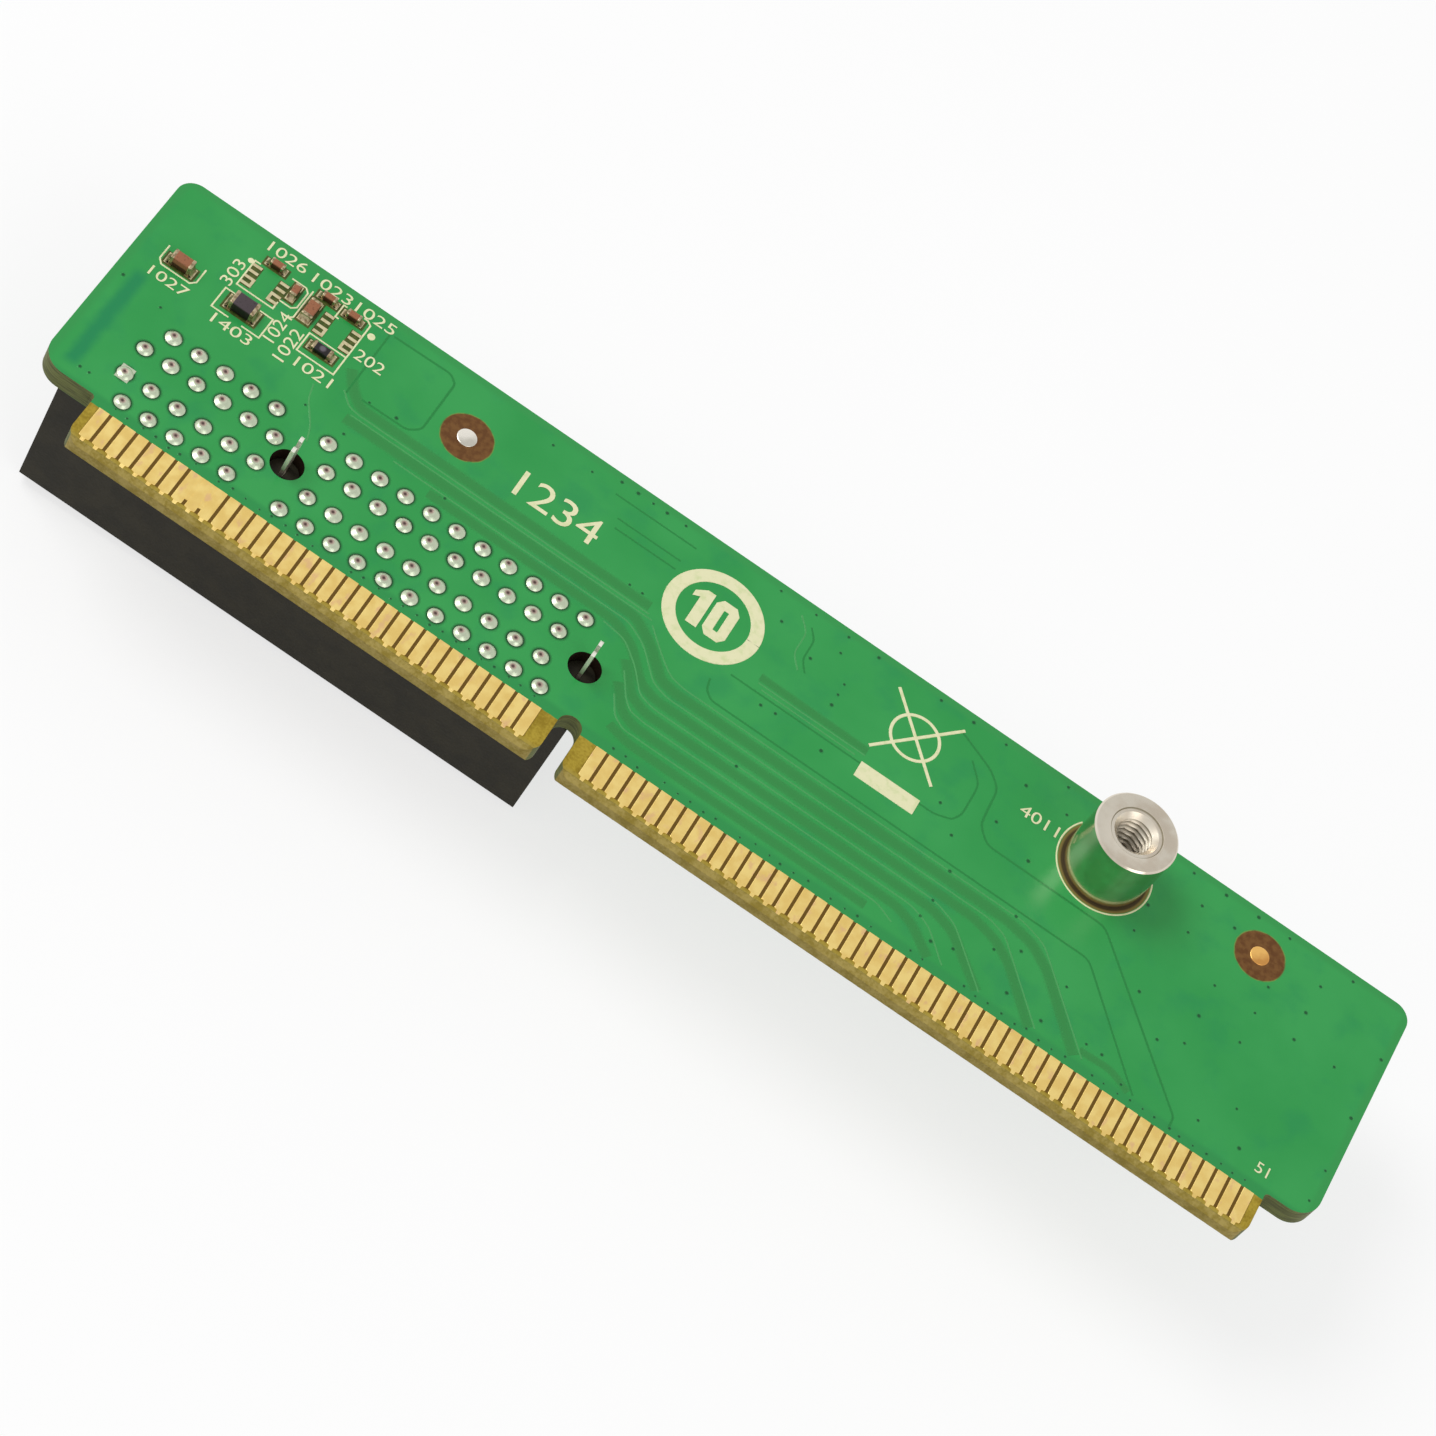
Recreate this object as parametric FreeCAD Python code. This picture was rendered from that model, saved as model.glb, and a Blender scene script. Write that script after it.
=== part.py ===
import FreeCAD, Part
import math
import os

# A riser card: a green glass-epoxy circuit board with a gold edge connector along one long
# side, a four-lane card slot soldered to its front face and a threaded standoff on its back.
# The board lies flat with its back face up, and the slot opens downwards.
#
# Card coordinates, in millimetres, used while the pieces are made:
#   x runs along the board, zero at the slot's first column of contacts
#   y runs across the board, zero on the slot's centreline, negative towards the gold edge
#   z runs up, zero at the slot's mating face
# Every piece is then moved so that the origin lies under the middle of the card.

Vector = FreeCAD.Vector

# ---- circuit board
board_thickness = 1.6
board_left_of_slot = 4.95       # left end to the slot's first column of contacts
board_right_of_tongue = 3.505   # side of the tongue to the plain right end
board_back_of_slot = 14.95      # slot centreline to the plain long edge
outer_corner_radius = 1.3
shoulder_corner_radius = 1.8
inner_corner_radius = 0.3
tongue_depth = 3.8              # the plug-in tongue, below the two shoulders
tongue_corner_radius = 1.0
bevel_across = 0.3              # lead-in bevel on both faces of the tongue
bevel_deep = 0.4
notch_width = 1.7               # keying notch between the two groups of fingers
notch_above_shoulder = 0.3

# ---- gold edge fingers
finger_pitch = 1.0
finger_width = 0.77
finger_thickness = 0.05
finger_taper = 0.3              # length of the end with cut corners
finger_end_width = 0.32
short_group_count = 34
long_group_count = 51
group_gap = 5.0                 # last finger of one group to the first of the other
first_finger = 0.5              # right of the slot's first column of contacts
tongue_margin = 0.66            # outermost finger to the side of the tongue
mask_below_shoulder = 0.62      # where the green coating stops and the gold begins
joined_first = 7                # these fingers of the back face are one wide pad
joined_count = 3
joined_slot = 0.6               # slots left in the wide pad, above its cut corners

# ---- card slot
contact_pitch = 1.0
columns_before_key = 11
columns_after_key = 21
key_gap = 3.0                   # between the columns on either side of the key
inner_row = 1.25                # slot centreline to each row of solder tails
outer_row = 3.25
slot_height = 11.25
slot_end_length = 3.0           # end column to the end of the housing
side_outside_tails = 0.5
shoulder_clearance = 0.25       # side of the housing to the shoulders of the board
mouth_width = 1.75              # slot that the edge of a card goes into
mouth_depth = 7.9
mouth_end = 0.75                # end column to the end of each slot
lead_in = 0.45
mating_chamfer = 0.75           # long outer edges of the mating face
end_chamfer = 0.3
chamber_depth = 0.55            # each contact's pocket, outwards from the mouth
chamber_side_clearance = 0.08
pan_depth = 1.2                 # recess under the housing where the tails spread
pan_clearance = 0.2
foot_height = 0.2
foot_length = 1.4
foot_around_lock = 1.2

# ---- slot contacts
contact_width = 0.45
contact_thickness = 0.25
contact_gap = 1.15              # between facing contacts, with no card in the slot
contact_tip_height = 0.9
contact_bow_height = 2.6
contact_root_height = 5.6
tip_set_back = 0.3
contact_clearance = 0.03
tail_jog = 0.5                  # height over which a tail moves to its row
hole_clearance = 0.05           # round each tail in its solder-filled hole

# ---- solder joints on the back face
joint_radius = 0.52
joint_top_radius = 0.26
joint_height = 0.35
joint_sides = 8

# ---- board locks: a plastic peg and a forked steel strip at the key and at the far end
lock_after_column = 1.7
lock_hole_diameter = 2.35
peg_clearance = 0.075
peg_height = 0.6                # into the hole
lock_thickness = 0.25
lock_width = 1.44
lock_root = 2.4                 # into the housing
lock_height = 2.55              # above the back face
lock_fork_gap = 0.56
lock_barb = 0.14
lock_pocket_clearance = 0.03

# ---- standoff on the back face, pressed into the board
standoff_from_right = 22.75     # from the plain right end
standoff_from_edge = 4.53       # from the plain long edge
standoff_diameter = 6.0
standoff_height = 5.0
standoff_shank_diameter = 4.2
standoff_shank_short = 0.1      # shank ends this far above the board's front face
standoff_press_clearance = 0.02
thread_core_diameter = 2.5      # core of an M3 thread
countersink_diameter = 3.24
standoff_edge_chamfer = 0.12

# ---- flat copper on the back face
land_thickness = 0.05
fiducial_diameter = 1.4
fiducial_1_right_of_slot = 19.95    # from the slot's first column
fiducial_1_from_edge = 4.88         # from the plain long edge
fiducial_2_from_right = 10.9        # from the plain right end
fiducial_2_from_edge = 3.28
land_overhang = 0.28            # chip land beyond the end of its chip
land_side = 0.04

# ---- chip parts: x, distance of the centre from the plain long edge, length, width,
#      height, length of each metal end, and whether the chip lies across the board
chips = {
    "capacitor_1": (-1.58, 6.55, 1.60, 0.85, 0.85, 0.28, False),
    "capacitor_2": (3.33, 2.15, 1.05, 0.55, 0.50, 0.22, False),
    "capacitor_3": (5.28, 3.10, 1.05, 0.55, 0.50, 0.22, True),
    "capacitor_4": (6.84, 3.62, 1.60, 0.85, 0.50, 0.28, True),
    "capacitor_5": (7.33, 1.98, 1.05, 0.52, 0.50, 0.22, False),
    "capacitor_6": (9.32, 2.10, 1.05, 0.55, 0.50, 0.22, False),
    "ferrite_bead": (3.32, 6.68, 1.85, 1.20, 0.85, 0.30, False),
    "resistor": (9.02, 5.88, 1.50, 0.72, 0.42, 0.28, False),
}

# ---- two empty chip footprints: x of the middle and distance of the top pad from the edge
footprints = {
    "ic_pads_1": (3.42, 3.00),
    "ic_pads_2": (9.08, 3.00),
}
pad_pitch = 0.57
pads_a_side = 4
pad_length = 0.68
pad_width = 0.24
pad_row_half = 1.05             # middle of the footprint to the middle of its pads
bridge_width = 0.2              # upright strip that joins the last two pads of a side

# ---- worked out from the sizes above
board_left = -board_left_of_slot
board_back = board_back_of_slot
front_face = slot_height
back_face = slot_height + board_thickness
slot_half = outer_row + side_outside_tails
shoulder = -(slot_half + shoulder_clearance)
tongue_end = shoulder - tongue_depth
mask_line = shoulder - mask_below_shoulder
long_first = first_finger + (short_group_count - 1) * finger_pitch + group_gap
last_finger = long_first + (long_group_count - 1) * finger_pitch
tongue_left = first_finger - finger_width / 2 - tongue_margin
tongue_right = last_finger + finger_width / 2 + tongue_margin
board_right = tongue_right + board_right_of_tongue
notch_middle = long_first - group_gap / 2
finger_tip = tongue_end + bevel_across
mouth_half = mouth_width / 2
chamber_reach = mouth_half + chamber_depth
chamber_half = contact_width / 2 + chamber_side_clearance
housing_under = front_face - foot_height
pan_top = front_face - pan_depth
pan_half = outer_row + contact_thickness / 2 + side_outside_tails / 4
standoff_x = board_right - standoff_from_right
standoff_y = board_back - standoff_from_edge
fiducial_2_x = board_right - fiducial_2_from_right


def column_x(column):
    """Place of a column of contacts: even pitch, with a wider step across the key."""
    step_over_key = key_gap - contact_pitch if column >= columns_before_key else 0.0
    return column * contact_pitch + step_over_key


columns = columns_before_key + columns_after_key
last_column = column_x(columns - 1)
before_key = column_x(columns_before_key - 1)
after_key = column_x(columns_before_key)
lock_places = (before_key + lock_after_column, last_column + lock_after_column)
housing_left = -slot_end_length
housing_right = last_column + slot_end_length
origin_shift = Vector(-(board_left + board_right) / 2, -(board_back + tongue_end) / 2, 0)


def block(x_range, y_range, z_range):
    """Rectangular block between the two ends of each range."""
    (x0, x1), (y0, y1), (z0, z1) = x_range, y_range, z_range
    return Part.makeBox(x1 - x0, y1 - y0, z1 - z0, Vector(x0, y0, z0))


def around(middle, half):
    """Range that reaches half to each side of its middle."""
    return middle - half, middle + half


def prism_along_x(outline, x_range):
    """Outline of (y, z) points, carried along the board."""
    x0, x1 = x_range
    loop = [Vector(x0, y, z) for y, z in outline]
    face = Part.Face(Part.makePolygon(loop + loop[:1]))
    return face.extrude(Vector(x1 - x0, 0, 0))


def plate(outline, z0, thickness):
    """Outline of (x, y) points, raised to a flat plate."""
    loop = [Vector(x, y, z0) for x, y in outline]
    face = Part.Face(Part.makePolygon(loop + loop[:1]))
    return face.extrude(Vector(0, 0, thickness))


def rounded_wire(corners, z):
    """Closed wire through (x, y, radius) corners, with a tangent arc at each radius."""
    arrive, leave, arcs = [], [], []
    for number, (x, y, radius) in enumerate(corners):
        corner = Vector(x, y, z)
        before = Vector(*corners[number - 1][:2], z) - corner
        after = Vector(*corners[(number + 1) % len(corners)][:2], z) - corner
        before.normalize()
        after.normalize()
        half_angle = before.getAngle(after) / 2
        setback = radius / math.tan(half_angle)
        arrive.append(corner + before * setback)
        leave.append(corner + after * setback)
        if radius:
            bisector = before + after
            bisector.normalize()
            reach = radius / math.sin(half_angle) - radius
            arcs.append(Part.Arc(arrive[-1], corner + bisector * reach, leave[-1]).toShape())
        else:
            arcs.append(None)
    edges = []
    for number, arc in enumerate(arcs):
        if arc:
            edges.append(arc)
        start, end = leave[number], arrive[(number + 1) % len(corners)]
        if (end - start).Length > 1e-6:
            edges.append(Part.LineSegment(start, end).toShape())
    return Part.Wire(edges)


def export(name, shapes):
    """Write one piece, or a group of like pieces, to its own STEP file."""
    group = shapes if isinstance(shapes, list) else [shapes]
    moved = [shape.translated(origin_shift) for shape in group]
    whole = moved[0] if len(moved) == 1 else Part.makeCompound(moved)
    whole.exportStep(os.path.join("parts", name + ".step"))


# ---------------------------------------------------------------- circuit board

def tail_places(side, row):
    """(x, y) of the solder tails of one row: columns take the inner and outer row in turn."""
    first = 0 if row == inner_row else 1
    return [(column_x(column), side * row) for column in range(first, columns, 2)]


def make_board():
    """Routed outline with two shoulders, a bevelled tongue and a notch, then its holes."""
    notch = notch_width / 2
    notch_top = shoulder + notch_above_shoulder
    corners = [
        (board_left, board_back, outer_corner_radius),
        (board_left, shoulder, shoulder_corner_radius),
        (tongue_left, shoulder, inner_corner_radius),
        (tongue_left, tongue_end, tongue_corner_radius),
        (notch_middle - notch, tongue_end, tongue_corner_radius),
        (notch_middle - notch, notch_top, notch),
        (notch_middle + notch, notch_top, notch),
        (notch_middle + notch, tongue_end, tongue_corner_radius),
        (tongue_right, tongue_end, tongue_corner_radius),
        (tongue_right, shoulder, inner_corner_radius),
        (board_right, shoulder, shoulder_corner_radius),
        (board_right, board_back, outer_corner_radius),
    ]
    outline = Part.Face(rounded_wire(corners, front_face))
    board = outline.extrude(Vector(0, 0, board_thickness))

    cuts = []
    for face, inwards in ((front_face, 1), (back_face, -1)):
        bevel = [
            (tongue_end + bevel_across, face),
            (tongue_end, face + inwards * bevel_deep),
            (tongue_end - bevel_across, face + inwards * bevel_deep),
            (tongue_end - bevel_across, face),
        ]
        cuts.append(prism_along_x(bevel, (board_left, board_right)))
    through = (front_face, back_face)
    for side in (-1, 1):
        for row in (inner_row, outer_row):
            for x, y in tail_places(side, row):
                x_range = around(x, contact_width / 2 + hole_clearance)
                y_range = around(y, contact_thickness / 2 + hole_clearance)
                cuts.append(block(x_range, y_range, through))
    for x in lock_places:
        hole = Part.makeCylinder(lock_hole_diameter / 2, board_thickness, Vector(x, 0, front_face))
        cuts.append(hole)
    press_radius = standoff_shank_diameter / 2 + standoff_press_clearance
    press_place = Vector(standoff_x, standoff_y, front_face)
    cuts.append(Part.makeCylinder(press_radius, board_thickness, press_place))
    return board.cut(cuts)


def finger(x):
    """Outline of one finger: straight sides, then cut corners down to a narrow end."""
    half, end = finger_width / 2, finger_end_width / 2
    neck = finger_tip + finger_taper
    left = [(x - half, mask_line), (x - half, neck), (x - end, finger_tip)]
    right = [(x + end, finger_tip), (x + half, neck), (x + half, mask_line)]
    return left + right


def make_fingers(first, count, z0):
    """One group of fingers, all alike."""
    return [plate(finger(first + i * finger_pitch), z0, finger_thickness) for i in range(count)]


def make_back_short_fingers():
    """The back's short group, in which a few fingers are one wide pad with a slotted end."""
    fingers = make_fingers(first_finger, short_group_count, back_face)
    joined = fingers[joined_first:joined_first + joined_count]
    left = first_finger + joined_first * finger_pitch
    right = left + (joined_count - 1) * finger_pitch
    x_range = (left - finger_width / 2, right + finger_width / 2)
    y_range = (finger_tip + finger_taper + joined_slot, mask_line)
    z_range = (back_face, back_face + finger_thickness)
    wide = block(x_range, y_range, z_range).fuse(joined).removeSplitter()
    return fingers[:joined_first] + [wide] + fingers[joined_first + joined_count:]


# ---------------------------------------------------------------- card slot

def mouth_ranges():
    """The two lengths of the card's slot, before and after the key."""
    return (-mouth_end, before_key + mouth_end), (after_key - mouth_end, last_column + mouth_end)


def make_housing():
    """Moulded housing: profile along x, then its mouths, contact pockets, pan, feet and pegs."""
    profile = [
        (-slot_half, housing_under),
        (-slot_half, mating_chamfer),
        (-(slot_half - mating_chamfer), 0),
        (slot_half - mating_chamfer, 0),
        (slot_half, mating_chamfer),
        (slot_half, housing_under),
    ]
    body = prism_along_x(profile, (housing_left, housing_right))
    mating_ends = [e for e in body.Edges if e.BoundBox.ZMax < 1e-6 and e.BoundBox.XLength < 1e-6]
    body = body.makeChamfer(end_chamfer, mating_ends)

    full = (-slot_half, slot_half)
    seats = [(housing_left, housing_left + foot_length)]
    seats += [around(x, foot_around_lock) for x in lock_places]
    feet = [block((x0, min(x1, housing_right)), full, (housing_under, front_face)) for x0, x1 in seats]
    peg_radius = lock_hole_diameter / 2 - peg_clearance
    pegs = [
        Part.makeCylinder(peg_radius, pan_depth + peg_height, Vector(x, 0, pan_top))
        for x in lock_places
    ]

    pans, cuts = [], []
    pan_end = contact_width / 2 + pan_clearance
    for left, right in ((0.0, before_key), (after_key, last_column)):
        pan_x = (left - pan_end, right + pan_end)
        pans.append(block(pan_x, (-pan_half, pan_half), (pan_top, front_face)))
    for x_range in mouth_ranges():
        cuts.append(block(x_range, (-mouth_half, mouth_half), (0, mouth_depth)))
        flare = [
            (-(mouth_half + lead_in), 0),
            (mouth_half + lead_in, 0),
            (mouth_half, lead_in),
            (-mouth_half, lead_in),
        ]
        cuts.append(prism_along_x(flare, x_range))
    for column in range(columns):
        x_range = around(column_x(column), chamber_half)
        for y_range in ((-chamber_reach, -mouth_half), (mouth_half, chamber_reach)):
            cuts.append(block(x_range, y_range, (0, pan_top)))
    pocket_x = lock_thickness / 2 + lock_pocket_clearance
    pocket_y = lock_width / 2 + lock_pocket_clearance
    pocket_z = (front_face - lock_root - lock_pocket_clearance, front_face + peg_height)
    for x in lock_places:
        cuts.append(block(around(x, pocket_x), around(0, pocket_y), pocket_z))
    return body.fuse(feet).cut(pans).fuse(pegs).cut(cuts).removeSplitter()


def strip_outline(path, thickness):
    """Outline of a bent strip: its centreline of (y, z) points, offset to both sides."""
    left, right = [], []
    for number, (y, z) in enumerate(path):
        normals = []
        for start, end in ((number - 1, number), (number, number + 1)):
            if start >= 0 and end < len(path):
                run_y, run_z = path[end][0] - path[start][0], path[end][1] - path[start][1]
                run = math.hypot(run_y, run_z)
                normals.append((-run_z / run, run_y / run))
        mean_y = sum(n[0] for n in normals) / len(normals)
        mean_z = sum(n[1] for n in normals) / len(normals)
        mitre = thickness / 2 / (mean_y ** 2 + mean_z ** 2)
        left.append((y + mean_y * mitre, z + mean_z * mitre))
        right.append((y - mean_y * mitre, z - mean_z * mitre))
    return left + right[::-1]


def make_contact(x, side, row):
    """Spring contact: tip, bow towards the card, back against its pocket, jog and tail."""
    half_strip = contact_thickness / 2
    bow = contact_gap / 2 + half_strip
    back = chamber_reach - contact_clearance - half_strip
    jog_end = front_face - (pan_depth - tail_jog) / 2
    path = [
        (bow + tip_set_back, contact_tip_height),
        (bow, contact_bow_height),
        (back, contact_root_height),
        (back, jog_end - tail_jog),
        (row, jog_end),
        (row, back_face),
    ]
    outline = strip_outline([(side * y, z) for y, z in path], contact_thickness)
    return prism_along_x(outline, around(x, contact_width / 2))


def make_solder_joint(x, y):
    """Small cone of solder on the back face, over the end of a tail, with a few flat sides."""
    def ring(radius, z):
        angles = [2 * math.pi * i / joint_sides for i in range(joint_sides)]
        return [Vector(x + radius * math.cos(a), y + radius * math.sin(a), z) for a in angles]

    low = ring(joint_radius, back_face)
    high = ring(joint_top_radius, back_face + joint_height)
    loops = [low[::-1], high]
    for i in range(joint_sides):
        following = (i + 1) % joint_sides
        loops.append([low[i], low[following], high[following], high[i]])
    return Part.Solid(Part.Shell([Part.Face(Part.makePolygon(p + p[:1])) for p in loops]))


def make_board_lock(x):
    """Forked steel strip: its root in the housing, two barbed legs up through the board."""
    half, gap = lock_width / 2, lock_fork_gap / 2
    root = front_face - lock_root
    crotch = front_face + peg_height
    top = back_face + lock_height
    barb_start = back_face + lock_barb
    barb = half + lock_barb
    tip = (half + gap) / 2
    right = [
        (half, root),
        (half, barb_start),
        (barb, barb_start + 2 * lock_barb),
        (half, top - lock_barb),
        (tip, top),
        (gap, top - lock_barb),
        (gap, crotch),
    ]
    outline = right + [(-y, z) for y, z in reversed(right)]
    return prism_along_x(outline, around(x, lock_thickness / 2))


# ---------------------------------------------------------------- standoff and surface parts

def make_standoff():
    """Turned standoff: one profile of (radius, height above the back face), spun round."""
    core, wide = thread_core_diameter / 2, countersink_diameter / 2
    shank, body = standoff_shank_diameter / 2, standoff_diameter / 2
    shank_end = -(board_thickness - standoff_shank_short)
    edge = standoff_edge_chamfer
    profile = [
        (core, shank_end),
        (shank, shank_end),
        (shank, 0),
        (body, 0),
        (body, standoff_height - edge),
        (body - edge, standoff_height),
        (wide, standoff_height),
        (core, standoff_height - (wide - core)),
    ]
    loop = [Vector(standoff_x + r, standoff_y, back_face + z) for r, z in profile]
    face = Part.Face(Part.makePolygon(loop + loop[:1]))
    return face.revolve(Vector(standoff_x, standoff_y, back_face), Vector(0, 0, 1), 360)


def make_fiducial(x, from_edge):
    """Round dot of plated copper that a placement machine looks for."""
    at = Vector(x, board_back - from_edge, back_face)
    return Part.makeCylinder(fiducial_diameter / 2, land_thickness, at)


def make_chip(x, from_edge, length, width, height, end_length, across):
    """Body, two metal ends and two lands of a chip part, laid along or across the board."""
    y = board_back - from_edge
    seat = back_face + land_thickness

    def laid(along_range, half_width, z_range):
        (a0, a1), side = along_range, (-half_width, half_width)
        if across:
            return block((x + side[0], x + side[1]), (y + a0, y + a1), z_range)
        return block((x + a0, x + a1), (y + side[0], y + side[1]), z_range)

    inner, outer = length / 2 - end_length, length / 2
    body = laid((-inner, inner), width / 2, (seat, seat + height))
    ends, lands = [], []
    for way in (-1, 1):
        reach = sorted((way * inner, way * outer))
        ends.append(laid(reach, width / 2, (seat, seat + height)))
        reach = sorted((way * inner, way * (outer + land_overhang)))
        lands.append(laid(reach, width / 2 + land_side, (back_face, seat)))
    return body, ends, lands


def make_footprint(x, from_edge):
    """Bare tinned pads for a small chip: two rows, the last two pads of each row joined."""
    z_range = (back_face, back_face + land_thickness)
    top = board_back - from_edge
    pads = []
    for way in (-1, 1):
        row = [
            block(around(x + way * pad_row_half, pad_length / 2),
                  around(top - i * pad_pitch, pad_width / 2), z_range)
            for i in range(pads_a_side)
        ]
        inner_end = x + way * (pad_row_half - pad_length / 2)
        lowest = top - (pads_a_side - 1) * pad_pitch
        bridge_y = (lowest - pad_width / 2, lowest + pad_pitch + pad_width / 2)
        bridge = block(around(inner_end, bridge_width / 2), bridge_y, z_range)
        pads += row[:-2] + [row[-2].fuse([row[-1], bridge]).removeSplitter()]
    return pads


os.makedirs("parts", exist_ok=True)

export("circuit_board", make_board())
export("edge_fingers_back_short", make_back_short_fingers())
export("edge_fingers_back_long", make_fingers(long_first, long_group_count, back_face))
front_fingers = front_face - finger_thickness
export("edge_fingers_front_short", make_fingers(first_finger, short_group_count, front_fingers))
export("edge_fingers_front_long", make_fingers(long_first, long_group_count, front_fingers))

export("slot_housing", make_housing())
rows = ((-1, outer_row), (-1, inner_row), (1, inner_row), (1, outer_row))
for number, (side, row) in enumerate(rows, 1):
    places = tail_places(side, row)
    export(f"slot_contacts_row_{number}", [make_contact(x, side, row) for x, y in places])
    export(f"solder_joints_row_{number}", [make_solder_joint(x, y) for x, y in places])
for number, x in enumerate(lock_places, 1):
    export(f"board_lock_{number}", make_board_lock(x))

export("standoff", make_standoff())
export("fiducial_1", make_fiducial(fiducial_1_right_of_slot, fiducial_1_from_edge))
export("fiducial_2", make_fiducial(fiducial_2_x, fiducial_2_from_edge))
all_lands = []
for name, sizes in chips.items():
    chip_body, chip_ends, chip_lands = make_chip(*sizes)
    export(name, chip_body)
    export(name + "_ends", chip_ends)
    all_lands += chip_lands
export("chip_lands", all_lands)
for name, place in footprints.items():
    export(name, make_footprint(*place))
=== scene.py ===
import math

import bmesh
import bpy
import numpy as np
from mathutils import Matrix, Vector


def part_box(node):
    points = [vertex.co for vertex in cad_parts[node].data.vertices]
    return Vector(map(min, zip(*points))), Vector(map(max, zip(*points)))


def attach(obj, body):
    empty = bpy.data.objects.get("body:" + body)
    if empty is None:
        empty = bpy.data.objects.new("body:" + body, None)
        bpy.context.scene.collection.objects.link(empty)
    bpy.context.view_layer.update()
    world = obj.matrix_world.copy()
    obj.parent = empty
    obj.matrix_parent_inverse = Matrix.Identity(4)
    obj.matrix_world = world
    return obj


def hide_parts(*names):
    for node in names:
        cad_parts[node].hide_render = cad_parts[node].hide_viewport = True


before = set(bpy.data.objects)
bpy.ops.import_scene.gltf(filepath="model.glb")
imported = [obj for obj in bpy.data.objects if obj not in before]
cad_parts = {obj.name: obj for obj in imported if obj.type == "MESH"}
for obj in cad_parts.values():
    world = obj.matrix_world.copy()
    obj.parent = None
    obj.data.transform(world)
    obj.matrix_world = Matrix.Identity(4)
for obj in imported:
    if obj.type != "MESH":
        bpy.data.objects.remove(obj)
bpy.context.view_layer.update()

# ---------------- Circuit board
# Glass cloth in epoxy with copper on both faces, routed to shape and bevelled along the tongue.
# Both faces are coated green. Bare laminate shows on the tongue, on the edges, and in the openings
# of the coating round the placement dots, the standoff and the soldered chips.
slot_from_left, slot_from_back = 0.00495, 0.01495
tongue_depth, coating_below_shoulder, feather_width = 3.8, 0.62, 0.1
skin_depth, skin_edge, edge_softness = 0.006, 0.02, 0.03
dot_opening_radius, dot_opening_wobble, standoff_radius = 1.9, 0.12, 3.0
standoff_opening_radius, lock_hole_radius = 3.38, 1.175
# Each pair of lengths is where a soft edge starts and ends.
opening_edge, lock_hole_wall, standoff_shadow = (-0.04, 0.02), (0.04, 0.08), (3.1, 3.26)
finger_spans = (((0.0, 0.2), (33.8, 34.0)), ((38.0, 38.2), (88.8, 89.0)))
finger_gap_share, finger_gap_end = (0.35, 0.4), (-7.3, -7.15)
nose_height, bevel_height = (0.3, 0.7), (0.25, 0.35)
edge_band, strip_above_gold = (0.3, 0.8), (0.6, 1.1)
slot_end_across, slot_end_along = ((-3.8, -3.1), (-2.85, -2.1)), ((-3.4, -2.4), (5.6, 6.8))
green_deep, green_pale = (42, 151, 72), (53, 159, 80)
green_at_edge, green_in_strip, green_at_slot_end = (50, 150, 75), (43, 145, 74), (27, 136, 80)
tongue_dark, tongue_light, tongue_nose = (140, 116, 14), (174, 150, 46), (164, 144, 60)
shaded_ochre_between_fingers, teal_share = (100, 72, 2), 0.4
dot_ring_dark, dot_ring_light = (94, 56, 16), (114, 76, 33)
standoff_ring_inner, standoff_ring_outer = (58, 46, 12), (122, 108, 52)
routed_light, routed_dark = (118, 124, 68), (84, 88, 46)
bevel_light, bevel_dark, shaded_hole_wall = (178, 158, 86), (146, 126, 46), (40, 26, 14)
coating_roughness, laminate_roughness, board_specular = 0.24, 0.6, 0.3

low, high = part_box("circuit_board")
card_origin = Vector((low.x + slot_from_left, high.y - slot_from_back, high.z))


def card_box(node):
    """Lowest and highest corner of a CAD node, in millimetres from the slot's first contact."""
    return [np.array(1000 * (corner - card_origin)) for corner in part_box(node)]


def box_middle(node):
    """Middle of a CAD node's box along and across the board."""
    return (sum(card_box(node))[:2] / 2).tolist()


board_corners = [corner.tolist() for corner in card_box("circuit_board")]
(board_left, tongue_end, board_bottom), (board_right, board_back, _) = board_corners
coating_line = tongue_end + tongue_depth - coating_below_shoulder
standoff_place = (float(card_box("standoff")[1][0]) - standoff_radius, box_middle("standoff")[1])


def feed(tree, socket, value):
    """Link a Wire to a socket, or set the socket to a plain value."""
    if isinstance(value, Wire):
        tree.links.new(value.socket, socket)
    else:
        socket.default_value = value


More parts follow.
